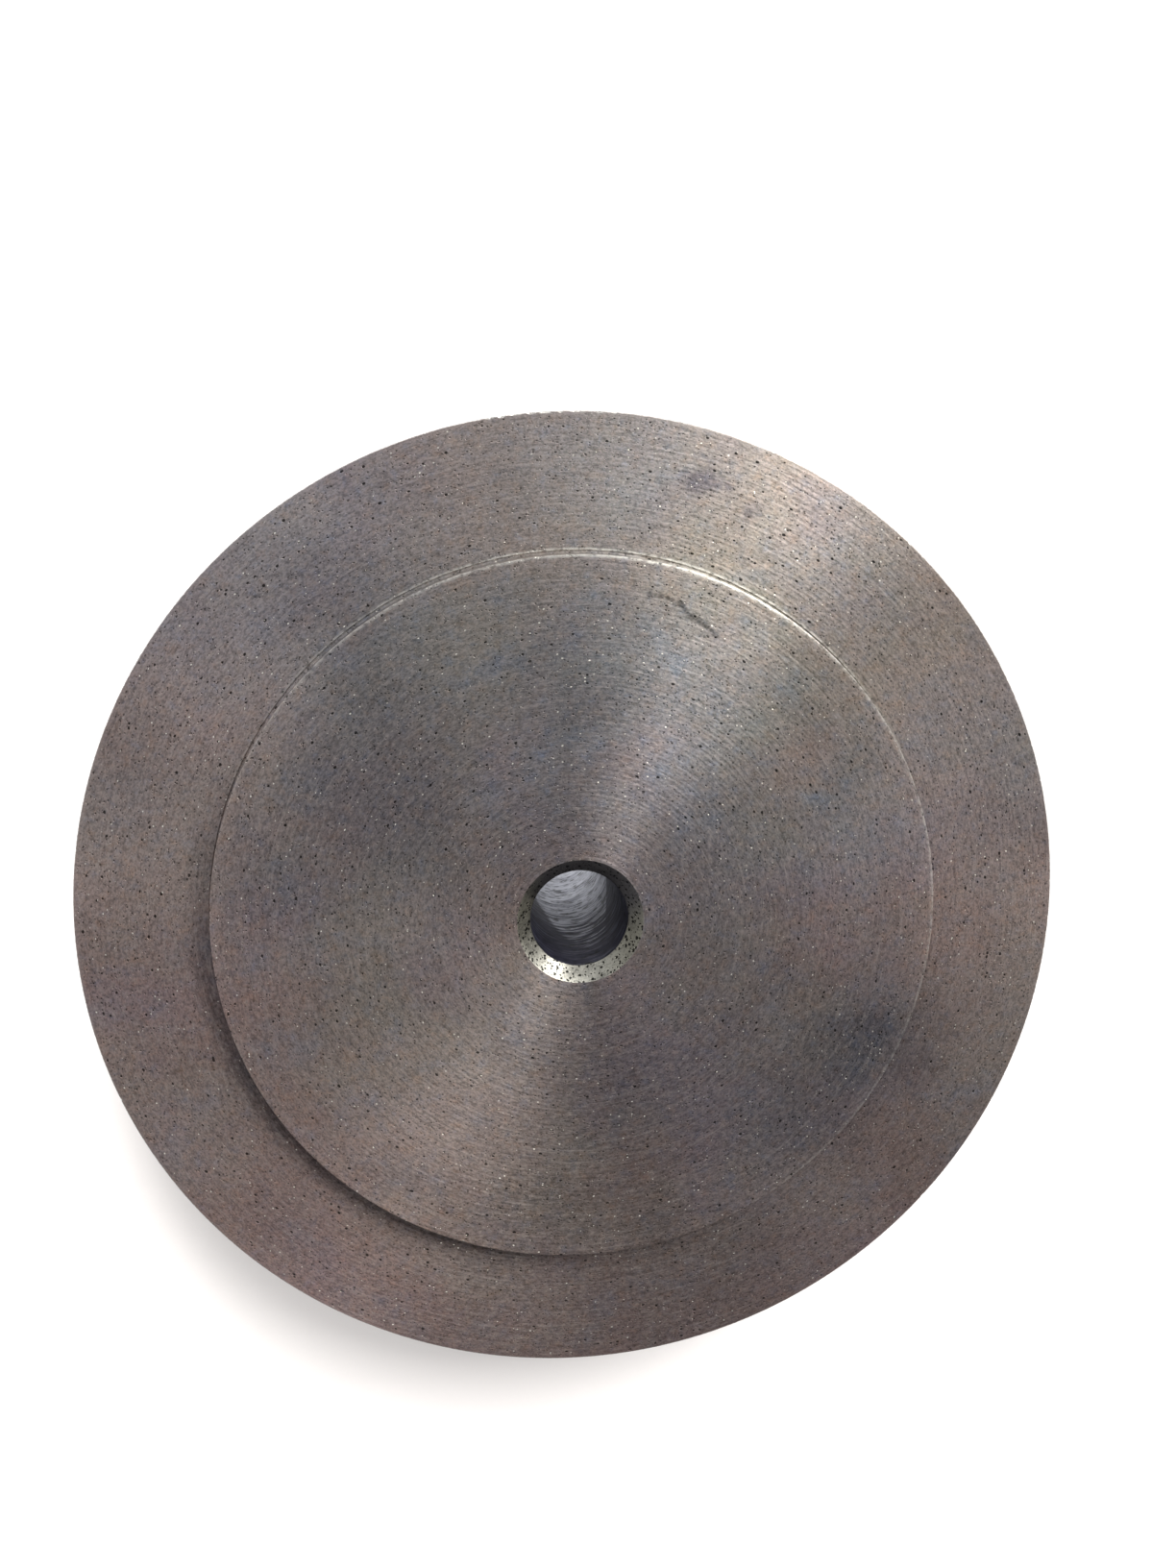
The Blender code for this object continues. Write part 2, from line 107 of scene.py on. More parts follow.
def divided(points, longest):
    """The closed outline with extra points, so that no side is longer than that."""
    result = []
    for here, there in zip(points, points[1:] + points[:1]):
        length = math.dist(here[:2], there[:2])
        parts = max(1, math.ceil(length / longest))
        for k in range(parts):
            share = k / parts
            result.append(tuple(a + (b - a) * share for a, b in zip(here, there)))
    return result


def mesh_of(shape, name):
    """A new mesh with the bmesh's shape, which is freed."""
    mesh = bpy.data.meshes.new(name)
    shape.to_mesh(mesh)
    shape.free()
    return mesh


def linked(name, data):
    """A new object of the scene."""
    thing = bpy.data.objects.new(name, data)
    bpy.context.scene.collection.objects.link(thing)
    return thing


def give(mesh, *materials):
    """The mesh with only those materials."""
    mesh.materials.clear()
    for material in materials:
        mesh.materials.append(material)
    return mesh


def new_object(name, mesh, body):
    thing = linked(name, mesh)
    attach(thing, body)
    return thing


def finish_mesh(mesh, sharp=35):
    """Clears the slivers that cuts leave, then shades the mesh smooth up to that angle."""
    shape = bmesh.new()
    shape.from_mesh(mesh)
    bmesh.ops.dissolve_degenerate(shape, dist=SLIVER, edges=shape.edges)
    many_sided = [face for face in shape.faces if len(face.verts) > 4]
    bmesh.ops.triangulate(shape, faces=many_sided)
    bmesh.ops.dissolve_degenerate(shape, dist=SLIVER, edges=shape.edges)
    shape.to_mesh(mesh)
    shape.free()
    mesh.validate()
    mesh.shade_smooth()
    mesh.set_sharp_from_angle(angle=math.radians(sharp))
    return mesh


def turned_mesh(name, points, steps, centre=(0, 0)):
    """A closed outline of (radius, height, edge) points spun about a vertical line, outer side first."""
    outline = np.array(points, float)
    count = len(outline)
    angles = np.arange(steps) * TURN / steps
    radius, height, edge = (np.tile(column, (steps, 1)) for column in outline.T)
    x = centre[0] + radius * np.cos(angles)[:, None]
    y = centre[1] + radius * np.sin(angles)[:, None]
    vertices = np.stack([x, y, height], axis=-1).reshape(-1, 3)
    i, j = np.meshgrid(np.arange(steps), np.arange(count), indexing="ij")
    nexti, nextj = (i + 1) % steps, (j + 1) % count
    quads = np.stack(
        [i * count + j, i * count + nextj, nexti * count + nextj, nexti * count + j], axis=-1
    ).reshape(-1, 4)
    mesh = bpy.data.meshes.new(name)
    mesh.from_pydata(vertices.tolist(), [], quads.tolist())
    attribute = mesh.attributes.new("edge", "FLOAT", "POINT")
    attribute.data.foreach_set("value", edge.reshape(-1).astype(np.float32))
    return mesh


def move_vertices(mesh, change):
    """Replaces the vertices with change(points), a function of an (n, 3) array."""
    points = np.empty(len(mesh.vertices) * 3, np.float32)
    mesh.vertices.foreach_get("co", points)
    moved = change(points.reshape(-1, 3).astype(float))
    mesh.vertices.foreach_set("co", moved.astype(np.float32).ravel())
    mesh.update()


def cut(thing, cutter_mesh, operation="DIFFERENCE"):
    """Cuts the closed mesh from the object, or joins it, and keeps the result."""
    cutter = linked("cutter", cutter_mesh)
    modifier = thing.modifiers.new("cut", "BOOLEAN")
    modifier.operation = operation
    modifier.object = cutter
    bpy.context.view_layer.update()
    graph = bpy.context.evaluated_depsgraph_get()
    result = bpy.data.meshes.new_from_object(thing.evaluated_get(graph))
    thing.modifiers.remove(modifier)
    bpy.data.objects.remove(cutter)
    result.name = thing.name
    thing.data = result


def cylinder(radius, depth, transform, steps=32):
    shape = bmesh.new()
    sizes = {"segments": steps, "radius1": radius, "radius2": radius, "depth": depth}
    bmesh.ops.create_cone(shape, cap_ends=True, matrix=transform, **sizes)
    return mesh_of(shape, "cylinder")


def box_mesh(size, transform):
    shape = bmesh.new()
    bmesh.ops.create_cube(shape, size=1, matrix=transform @ Matrix.Diagonal((*size, 1)))
    return mesh_of(shape, "box")


# ---- material nodes


class Shader:
    """A node material with short calls for adding and joining nodes."""

    def __init__(self, name, colour, metallic, roughness, **constants):
        self.material = bpy.data.materials.new(name)
        self.material.use_nodes = True
        self.tree = self.material.node_tree
        self.surface = self.tree.nodes["Principled BSDF"]
        self.set("Base Color", (*colour, 1))
        self.set("Metallic", metallic)
        self.set("Roughness", roughness)
        for socket, value in constants.items():
            self.set(socket.replace("_", " "), value)
        self.place = self.add("TexCoord").outputs["Object"]

    def add(self, kind, inputs=None, **settings):
        node = self.tree.nodes.new("ShaderNode" + kind)
        for key, value in settings.items():
            setattr(node, key, value)
        for key, value in (inputs or {}).items():
            self.join(value, node.inputs[key])
        return node

    def join(self, value, socket):
        if isinstance(value, bpy.types.NodeSocket):
            self.tree.links.new(value, socket)
        else:
            socket.default_value = value

    def set(self, socket, value):
        self.join(value, self.surface.inputs[socket])

    def math(self, operation, *values):
        return self.add("Math", dict(enumerate(values)), operation=operation).outputs[0]

    def times(self, *values):
        return self.math("MULTIPLY", *values)

    def plus(self, *values):
        return self.math("ADD", *values)

    def minus(self, *values):
        return self.math("SUBTRACT", *values)

    def most(self, *values):
        return self.math("MAXIMUM", *values)

    def vector(self, operation, *values):
        node = self.add("VectorMath", dict(enumerate(values)), operation=operation)
        return node.outputs["Value" if operation in ("LENGTH", "DISTANCE") else "Vector"]

    def noise(self, place, scale, detail=2.0, roughness=0.5, distortion=0.0):
        inputs = {"Vector": place, "Scale": scale, "Detail": detail}
        inputs |= {"Roughness": roughness, "Distortion": distortion}
        return self.add("TexNoise", inputs).outputs["Fac"]

    def cloudy(self, *settings):
        """Noise that is alike in all directions."""
        return self.noise(self.place, *settings)

    def shifted(self, *offset):
        """The place moved along, for noise that must differ from another noise."""
        return self.vector("ADD", self.place, offset)

    def flat(self, unit=1.0, place=None):
        """The place seen from above, in that unit."""
        return self.vector("MULTIPLY", place or self.place, (1 / unit, 1 / unit, 0))

    def height(self):
        return self.add("SeparateXYZ", {"Vector": self.place}).outputs["Z"]

    def cells(self, place, scale):
        """Distance to the nearest random point, in cells, and that point's random number."""
        node = self.add("TexVoronoi", {"Vector": place, "Scale": scale})
        chance = self.add("SeparateColor", {"Color": node.outputs["Color"]}).outputs["Red"]
        return node.outputs["Distance"], chance

    def ramp(self, value, low, high, from_value=0.0, to_value=1.0):
        """A smooth step as value goes from low to high."""
        inputs = {"Value": value, "From Min": low, "From Max": high}
        inputs |= {"To Min": from_value, "To Max": to_value}
        return self.add("MapRange", inputs, interpolation_type="SMOOTHSTEP").outputs["Result"]

    def mix(self, share, first, second):
        """A colour between first and second."""
        node = self.add("Mix", data_type="RGBA")
        self.join(share, node.inputs["Factor"])
        for value, key in ((first, "A"), (second, "B")):
            socket = next(s for s in node.inputs if s.name == key and s.type == "RGBA")
            self.join((*value, 1) if isinstance(value, tuple) else value, socket)
        return next(s for s in node.outputs if s.type == "RGBA")

    def coat(self, share, colour):
        """Lays a colour over the surface, in part."""
        self.colour = self.mix(share, self.colour, colour)

    def darken(self, share):
        self.coat(share, (0.0, 0.0, 0.0))

    def tint(self, share, gains):
        """Multiplies the surface's red, green and blue by those gains, in part."""
        gains = self.mix(share, (1.0, 1.0, 1.0), gains)
        self.colour = self.vector("MULTIPLY", self.colour, gains)

    def turned(self):
        """Stretches reflections the way marks round the axis do."""
        self.set("Tangent", self.add("Tangent", direction_type="RADIAL", axis="Z").outputs[0])

    def finished(self, relief, depth, rough=None):
        """The material, with its colour, relief and roughness joined to the surface."""
        self.set("Base Color", self.colour)
        self.bump(relief, depth)
        if rough is not None:
            self.set("Roughness", rough)
        return self.material

    def bump(self, height, distance, strength=1.0):
        inputs = {"Height": height, "Distance": distance, "Strength": strength}
        self.set("Normal", self.add("Bump", inputs).outputs["Normal"])

    def across(self):
        """Distance across the tool marks: outwards on a face, upwards on a wall."""
        return self.plus(self.vector("LENGTH", self.flat()), self.height())

    def grained(self, stretch):
        """A place in which textures come out that much longer along the tool marks than across."""
        up = self.add("CombineXYZ", {"Z": self.times(self.across(), stretch)}).outputs[0]
        return self.vector("ADD", self.flat(), up)

    def warped(self, place, scale, reach):
        """The place moved about by noise, up to about that reach."""
        colour = self.add("TexNoise", {"Vector": place, "Scale": scale, "Detail": 3.0})
        offset = self.vector("SUBTRACT", colour.outputs["Color"], (0.5, 0.5, 0.5))
        offset = self.vector("MULTIPLY", offset, (2 * reach, 2 * reach, 2 * reach))
        return self.vector("ADD", place, offset)

    def pits(self, place, scale, size, soft=0.05, power=1.0):
        """1 in round-ish spots of random size up to that many cells, 0 elsewhere."""
        distance, chance = self.cells(place, scale)
        reach = self.times(self.math("POWER", chance, power), size + soft)
        return self.ramp(self.minus(distance, reach), 0.0, -soft)

    def attribute(self, name):
        return self.add("Attribute", attribute_name=name).outputs["Fac"]


# Places on the head's face, in head radii, where the oxide is dark and bluish, partly real oxide and
# partly painted shade: reach and weight
STAINS_AND_SHADE = (
    ((-0.38, 0.28), 0.32, 0.60),
    ((-0.56, 0.12), 0.22, 0.34),
    ((0.00, 0.52), 0.24, 0.42),
    ((0.08, 0.25), 0.34, 0.26),
    ((0.27, 0.04), 0.36, 0.42),
    ((0.60, -0.28), 0.26, 0.72),
    ((0.44, -0.47), 0.26, 0.60),
    ((0.20, -0.34), 0.42, 0.38),
    ((0.24, -0.80), 0.50, 0.22),
    ((0.47, -0.73), 0.30, 0.28),
    ((-0.08, -0.24), 0.20, 0.24),
    ((-0.36, -0.52), 0.13, 0.34),
    ((0.238, 0.872), 0.026, 1.0),
    ((0.262, 0.866), 0.018, 0.8),
    ((0.33, 0.83), 0.028, 0.55),
    ((-0.50, 0.66), 0.20, 0.38),
    ((0.92, 0.22), 0.20, 0.35),
    ((0.82, 0.44), 0.18, 0.26),
    ((0.74, -0.37), 0.11, 0.46),
    ((-0.90, 0.28), 0.16, 0.22),
    ((-0.60, -0.66), 0.14, 0.20),
)
# A thin scratch-like stain on the raised centre
SQUIGGLE = ((0.135, 0.658), (0.19, 0.638), (0.215, 0.612), (0.245, 0.592), (0.272, 0.567))


def flange_share(shader):
    """A little on the flange, none on the raised centre: a lighter colour laid on the flange."""
    start, end = FLANGE_TOP + 0.739 * HEAD_RADIUS, FLANGE_TOP + 0.76 * HEAD_RADIUS
    return shader.ramp(shader.across(), start, end, 0.0, 0.16)


def wedge(shader, azimuth, reach, weight):
    """Strongest along one azimuth, fading out that many degrees to either side of it."""
    angle = math.radians(azimuth)
    side = shader.vector("NORMALIZE", shader.flat())
    away = shader.vector("DISTANCE", side, (math.cos(angle), math.sin(angle), 0))
    limit = 2 * math.sin(math.radians(reach) / 2)
    return shader.ramp(away, limit, 0.25 * limit, 0.0, weight)


def painted_step_shade(shader):
    """Painted shade on the flange at the foot of the step, on the side turned away from the window."""
    flat = shader.flat(HEAD_RADIUS)
    radius = shader.vector("LENGTH", flat)
    out = shader.ramp(radius, 0.800, 0.752)
    out = shader.times(out, shader.ramp(radius, 0.732, 0.742))
    return shader.times(out, wedge(shader, 218, 70, 0.66))


def upright(shader):
    """1 on the rim's wall and the step's wall, 0 on the faces."""
    flat = shader.flat()
    rim = shader.ramp(shader.vector("LENGTH", flat), 0.992 * HEAD_RADIUS, 0.997 * HEAD_RADIUS)
    height = shader.height()
    step = shader.math(
        "MULTIPLY",
        shader.ramp(height, FLANGE_TOP + 0.1 * MM, FLANGE_TOP + 0.3 * MM),
        shader.ramp(height, HEAD_TOP - 0.1 * MM, HEAD_TOP - 0.3 * MM),
    )
    return shader.most(rim, step)


# Places painted lighter: partly rubbed cleaner by a hand, partly painted light
RUBBED_AND_LIT = (
    ((-0.14, -0.19), 0.22, 0.38),
    ((-0.24, -0.35), 0.30, 0.48),
    ((-0.28, 0.02), 0.26, 0.18),
    ((-0.14, 0.90), 0.44, 0.66),
    ((0.88, -0.14), 0.34, 0.26),
    ((0.72, 0.40), 0.26, 0.14),
    ((-0.72, 0.50), 0.42, 0.32),
    ((-0.88, 0.14), 0.32, 0.40),
    ((-0.22, 0.98), 0.26, 0.80),
    ((-0.60, 0.80), 0.30, 0.58),
    ((-0.97, 0.20), 0.28, 0.62),
)
# Places where it is only cooler in colour: partly the iron's own tone, partly a painted cool reflection
COOL_TONE_AND_REFLECTION = (
    ((0.14, 0.40), 0.50, 0.75),
    ((-0.55, 0.68), 0.50, 0.60),
    ((0.90, 0.36), 0.36, 0.50),
    ((0.55, 0.72), 0.34, 0.30),
    ((0.10, 0.90), 0.40, 0.50),
    ((0.52, 0.26), 0.28, 0.55),
)
# Places where it is more olive: partly the iron's own tone, partly painted light
OLIVE_TONE_AND_LIGHT = (((0.42, 0.66), 0.85, 1.0),)
# Places where it is rustier: partly rust, partly painted light and shade
RUSTY_TONE_AND_LIGHT = (
    ((-0.48, -0.72), 0.60, 0.66),
    ((0.05, -0.88), 0.50, 0.56),
    ((0.60, -0.74), 0.45, 0.50),
    ((-0.92, -0.22), 0.36, 0.50),
    ((-0.85, 0.02), 0.30, 0.30),
    ((0.30, 0.52), 0.15, 0.42),
    ((0.42, 0.30), 0.14, 0.40),
    ((0.47, -0.06), 0.17, 0.42),
    ((-0.12, 0.40), 0.15, 0.32),
    ((0.12, 0.34), 0.09, 0.36),
    ((0.76, -0.02), 0.20, 0.36),
    ((-0.66, 0.42), 0.18, 0.30),
)


def patches(shader, place, spots, core=0.1):
    """Soft round patches, each with its own reach and weight and full inside its core."""
    total = None
    for (x, y), reach, weight in spots:
        distance = shader.vector("DISTANCE", place, (x, y, 0))
        spot = shader.ramp(distance, reach, core * reach, 0.0, weight)
        total = spot if total is None else shader.most(total, spot)
    return total


def scratched(shader):
    """The thin stained scratch on the raised centre, as a row of small patches."""
    near = shader.flat(HEAD_RADIUS, shader.warped(shader.place, 900.0, 0.5 * MM))
    spots = []
    for (x0, y0), (x1, y1) in zip(SQUIGGLE, SQUIGGLE[1:]):
        for share in (0.0, 0.2, 0.4, 0.6, 0.8):
            middle = (x0 + (x1 - x0) * share, y0 + (y1 - y0) * share)
            spots.append((middle, 0.0095, 0.66))
    return patches(shader, near, spots, 0.0)


def turned_iron():
    """Turned grey iron with tool marks, graphite pits, painted glints and a blotchy oxide, with painted
    light and shade in its patches and bands.
    """
    brushed = {"Anisotropic": 0.79, "Anisotropic_Rotation": 0.25}
    shader = Shader("turned_iron", (0.2, 0.17, 0.15), 0.92, 0.42, **brushed)
    shader.turned()
    uneven = shader.flat(HEAD_RADIUS, shader.warped(shader.place, 60.0, 9 * MM))
    short = shader.grained(12.0)
    long = shader.grained(30.0)
    speckled = shader.warped(shader.grained(1.1), 1900.0, 0.14 * MM)

    cloud = shader.cloudy(24.0, 6.0, 0.62)
    other_cloud = shader.noise(shader.shifted(7, 3, 5), 38.0, 5.0, 0.6)
    blotch = shader.cloudy(120.0, 4.0, 0.6)
    mottle = shader.noise(shader.grained(1.2), 1050.0, 3.0, 0.65)
    grain = shader.noise(shader.grained(1.2), 2500.0, 1.0)
    broad = shader.noise(shader.shifted(3, 1, 6), 34.0, 4.0, 0.62)
    tint = shader.noise(shader.shifted(1, 8, 2), 520.0, 4.0, 0.7)
    streak = shader.noise(short, 210.0, 3.0, 0.6)
    line = shader.noise(long, 92.0, 3.0, 0.6)
    face = shader.minus(1.0, shader.times(upright(shader), 0.75))

    brown, olive = (0.262, 0.202, 0.186), (0.250, 0.222, 0.198)
    plum, slate = (0.250, 0.202, 0.214), (0.206, 0.210, 0.238)
    shader.colour = shader.mix(shader.ramp(cloud, 0.36, 0.64), brown, olive)
    shader.coat(shader.ramp(other_cloud, 0.44, 0.70, 0.0, 0.8), plum)
    shader.coat(shader.ramp(blotch, 0.50, 0.74, 0.0, 0.6), slate)
    # Patches of colour, each partly the iron's own tone or wear and partly painted light and shade
    shader.coat(patches(shader, uneven, RUBBED_AND_LIT), (0.42, 0.36, 0.33))
    shader.tint(patches(shader, uneven, COOL_TONE_AND_REFLECTION), (0.89, 1.05, 1.22))
    shader.tint(patches(shader, uneven, RUSTY_TONE_AND_LIGHT), (1.13, 0.94, 0.93))
    shader.tint(patches(shader, uneven, OLIVE_TONE_AND_LIGHT), (0.97, 1.05, 0.96))
    shader.coat(patches(shader, uneven, STAINS_AND_SHADE), (0.112, 0.112, 0.130))
    shader.coat(flange_share(shader), (0.36, 0.285, 0.262))
    bluish = shader.times(shader.ramp(tint, 0.52, 0.70), face)
    shader.tint(bluish, (0.92, 1.0, 1.12))
    rusty = shader.times(shader.ramp(tint, 0.49, 0.31), face)
    shader.tint(rusty, (1.09, 1.0, 0.92))
    step_shade = painted_step_shade(shader)
    # Painted shade: a dark band on the flange at the foot of the step
    shader.coat(step_shade, (0.062, 0.050, 0.055))
    # Painted shade: darker in a wedge towards azimuth 267
    shader.darken(wedge(shader, 267, 40, 0.24))
    shader.darken(scratched(shader))
    shader.darken(shader.ramp(broad, 0.56, 0.38, 0.0, 0.13))
    dull = shader.times(shader.ramp(mottle, 0.52, 0.30, 0.0, 0.32), face)
    shader.darken(dull)
    sandy = shader.times(shader.ramp(grain, 0.55, 0.30, 0.0, 0.20), face)
    shader.darken(sandy)
    shader.tint(shader.ramp(grain, 0.42, 0.62), (1.20, 1.175, 1.18))
    clear = shader.times(shader.ramp(mottle, 0.50, 0.74, 0.0, 0.33), face)
    shader.coat(clear, (0.46, 0.40, 0.36))
    shader.darken(shader.ramp(streak, 0.48, 0.30, 0.0, 0.14))
    shader.coat(shader.ramp(line, 0.52, 0.72, 0.0, 0.18), (0.48, 0.43, 0.40))

    pits = shader.pits(speckled, 950.0, 0.25, 0.06, 3.0)
    small_pits = shader.pits(speckled, 1700.0, 0.28, 0.08)
    all_pits = shader.most(pits, shader.times(small_pits, 0.75))
    all_pits = shader.times(all_pits, face)
    # Fewer pits in the painted shade at the foot of the step
    lit_share = shader.minus(1.0, step_shade)
    all_pits = shader.times(all_pits, lit_share)
    shader.darken(shader.times(all_pits, 0.85))
    # Painted glints: small bright specks laid into the colour
    painted_glints = shader.pits(speckled, 1500.0, 0.19, 0.05, 6.0)
    shader.coat(shader.times(painted_glints, face), (0.92, 0.88, 0.78))

    # Bright bare edges: partly wear, partly painted highlight, brightest on the side towards the window
    bare = shader.ramp(mottle, 0.38, 0.60, 0.25, 1.0)
    bare = shader.times(shader.attribute("edge"), bare)
    shader.coat(bare, (0.85, 0.83, 0.76))

    rough = shader.ramp(cloud, 0.3, 0.7, 0.38, 0.47)

    phase = shader.times(shader.across(), TURN / TURNING_PITCH)
    relief = shader.times(shader.math("SINE", phase), 0.14)
    relief = shader.plus(relief, shader.times(streak, 0.85))
    relief = shader.plus(relief, shader.times(line, 0.85))
    relief = shader.plus(relief, shader.times(mottle, 0.6))
    relief = shader.plus(relief, shader.times(grain, 0.6))
    relief = shader.minus(relief, shader.times(all_pits, 1.6))
    rough = shader.plus(rough, shader.times(all_pits, 0.25))
    return shader.finished(relief, 0.03 * MM, rough)


def fine_turned_iron():
    """The journal and hub: bare iron turned with a fine feed, cleaner than the face."""
    brushed = {"Anisotropic": 0.5, "Anisotropic_Rotation": 0.25}
    shader = Shader("fine_turned_iron", (0.3, 0.29, 0.27), 0.95, 0.32, **brushed)
    shader.turned()
    streak = shader.noise(shader.grained(20.0), 150.0, 3.0, 0.6)
    cloud = shader.cloudy(120.0, 4.0, 0.6)
    shader.colour = shader.mix(shader.ramp(cloud, 0.35, 0.7), (0.20, 0.20, 0.215), (0.36, 0.35, 0.33))
    shader.darken(shader.ramp(streak, 0.5, 0.3, 0.0, 0.45))
    rough = shader.ramp(cloud, 0.3, 0.7, 0.28, 0.40)
    return shader.finished(streak, 0.02 * MM, rough)


def bore_iron():
    """The bored wall: round tool scratches, painted dark shade near the mouth, and a painted patch of
    light on the bluish iron below.
    """
    shader = Shader("bored_iron", (0.3, 0.3, 0.33), 0.9, 0.5)
    scratch = shader.noise(shader.grained(7.0), 170.0, 3.0, 0.6)
    grain = shader.noise(shader.grained(1.5), 420.0, 4.0, 0.7)
    parts = shader.add("SeparateXYZ", {"Vector": shader.place})
    depth = shader.minus(HEAD_TOP, parts.outputs["Z"])
    depth = shader.math("DIVIDE", depth, HEAD_RADIUS)
    across = shader.math("DIVIDE", parts.outputs["X"], BORE_RADIUS)
    uneven = shader.times(shader.minus(scratch, 0.5), 0.8)
    # Painted light: a patch on the deep wall, bounded left and right, where light comes up the bore
    lit_share = shader.ramp(shader.plus(depth, uneven), 0.19, 0.40)
    right = shader.minus(across, shader.times(depth, 1.24))
    left = shader.plus(across, shader.times(depth, 1.8))
    lit_share = shader.times(lit_share, shader.ramp(right, 0.50, 0.46))
    lit_share = shader.times(lit_share, shader.ramp(left, 0.16, 0.27))
    # Colour of the painted light patch, then colour of the painted shade around it
    worn = shader.mix(shader.ramp(scratch, 0.30, 0.65), (0.32, 0.33, 0.385), (0.52, 0.53, 0.59))
    dark = shader.mix(shader.ramp(scratch, 0.50, 0.72), (0.036, 0.035, 0.062), (0.13, 0.13, 0.19))
    shader.colour = shader.mix(lit_share, dark, worn)
    shader.darken(shader.ramp(grain, 0.52, 0.34, 0.0, 0.72))
    specks = shader.pits(shader.warped(shader.grained(1.3), 900.0, 0.3 * MM), 620.0, 0.40, 0.12, 1.5)
    shader.darken(shader.times(specks, 0.6))
    rough = shader.ramp(scratch, 0.3, 0.7, 0.62, 0.52)
    return shader.finished(shader.plus(scratch, grain), 0.04 * MM, rough)


def chamfer_iron():
    """The bore's chamfer: freshly cut, brighter iron with dark graphite pits, painted light on one side
    and painted shade on the other.
    """
    shader = Shader("chamfered_iron", (0.5, 0.48, 0.42), 0.95, 0.36)
    cloud = shader.cloudy(240.0, 3.0, 0.6)
    streak = shader.noise(shader.grained(6.0), 400.0, 3.0, 0.6)
    speckled = shader.warped(shader.place, 1500.0, 0.14 * MM)
    side = shader.flat(BORE_RADIUS)
    # Painted highlight: the side at about azimuth 250 is painted brighter
    lit_side = shader.ramp(shader.vector("DISTANCE", side, (-0.40, -1.10, 0)), 1.6, 0.5)
    shader.colour = shader.mix(lit_side, (0.235, 0.225, 0.185), (0.42, 0.41, 0.36))
    shader.darken(shader.ramp(cloud, 0.60, 0.35, 0.0, 0.35))
    # Painted shade: the side at about azimuth 76 is painted dark
    away = shader.vector("DISTANCE", side, (0.27, 1.08, 0))
    oxide = shader.ramp(away, 1.62, 0.95, 0.0, 0.94)
    shader.coat(oxide, (0.10, 0.095, 0.10))
    pits = shader.pits(speckled, 2100.0, 0.50, 0.10)
    grit = shader.cloudy(2600.0, 3.0, 0.7)
    shader.darken(shader.ramp(grit, 0.5, 0.32, 0.0, 0.5))
    shader.darken(shader.times(pits, 0.9))
    relief = shader.minus(shader.times(streak, 0.6), pits)
    rough = shader.ramp(cloud, 0.3, 0.7, 0.34, 0.46)
    return shader.finished(relief, 0.04 * MM, rough)


def chipped_iron():
    """Fresh broken iron in the small chips of the rim."""
    shader = Shader("chipped_iron", (0.6, 0.59, 0.56), 0.9, 0.42)
    grain = shader.cloudy(1800.0, 4.0, 0.7)
    shader.colour = shader.mix(shader.ramp(grain, 0.35, 0.65), (0.30, 0.28, 0.26), (0.78, 0.76, 0.72))
    rough = shader.ramp(grain, 0.3, 0.7, 0.5, 0.36)
    return shader.finished(grain, 0.10 * MM, rough)


def cast_skin():
    """The unmachined underside of the head: dark, rough sand-cast skin."""
    shader = Shader("cast_skin", (0.07, 0.062, 0.058), 0.45, 0.7)
    lumps = shader.cloudy(420.0, 5.0, 0.65)
    cloud = shader.cloudy(45.0, 4.0, 0.6)
    shader.colour = shader.mix(shader.ramp(cloud, 0.35, 0.65), (0.055, 0.05, 0.05), (0.105, 0.082, 0.066))
    shader.darken(shader.ramp(lumps, 0.5, 0.25, 0.0, 0.6))
    rough = shader.ramp(lumps, 0.3, 0.7, 0.82, 0.6)
    return shader.finished(lumps, 0.35 * MM, rough)


def enamel():
    """Semi-matt machine enamel over a sand casting, rubbed through at the edges."""
    shader = Shader("machine_enamel", (0.03, 0.033, 0.037), 0.0, 0.4, Specular_IOR_Level=0.5)
    peel = shader.cloudy(520.0, 2.0, 0.5)
    casting = shader.cloudy(210.0, 4.0, 0.6)
    dust = shader.cloudy(60.0, 5.0, 0.65)
    worn = shader.cloudy(380.0, 4.0, 0.7)
    shader.colour = shader.mix(shader.ramp(dust, 0.40, 0.75), (0.026, 0.029, 0.033), (0.060, 0.060, 0.058))
    edge = shader.attribute("edge")
    patchy = shader.noise(shader.shifted(4, 2, 9), 40.0, 3.0, 0.6)
    worn = shader.plus(worn, shader.ramp(patchy, 0.35, 0.65, -0.14, 0.04))
    bare = shader.times(edge, shader.ramp(worn, 0.50, 0.56))
    shader.coat(bare, (0.18, 0.165, 0.155))
    shader.set("Metallic", shader.times(bare, 0.85))
    relief = shader.plus(shader.times(peel, 0.15), casting)
    relief = shader.minus(relief, shader.times(bare, 0.3))
    rough = shader.ramp(dust, 0.3, 0.75, 0.30, 0.52)
    return shader.finished(relief, 0.18 * MM, rough)


def steel(name, dark, light, roughness, scratch_scale=2500.0, relief=0.01):
    """Machined or plated steel with marks that run round the axis."""
    shader = Shader(name, light, 1.0, roughness)
    streak = shader.noise(shader.grained(scratch_scale / 150.0), 150.0, 2.0)
    cloud = shader.cloudy(150.0, 4.0, 0.6)
    share = shader.times(shader.ramp(cloud, 0.3, 0.7), shader.ramp(streak, 0.2, 0.6))
    shader.colour = shader.mix(share, dark, light)
    rough = shader.ramp(cloud, 0.3, 0.7, roughness * 0.85, roughness * 1.25)
    return shader.finished(streak, relief * MM, rough)


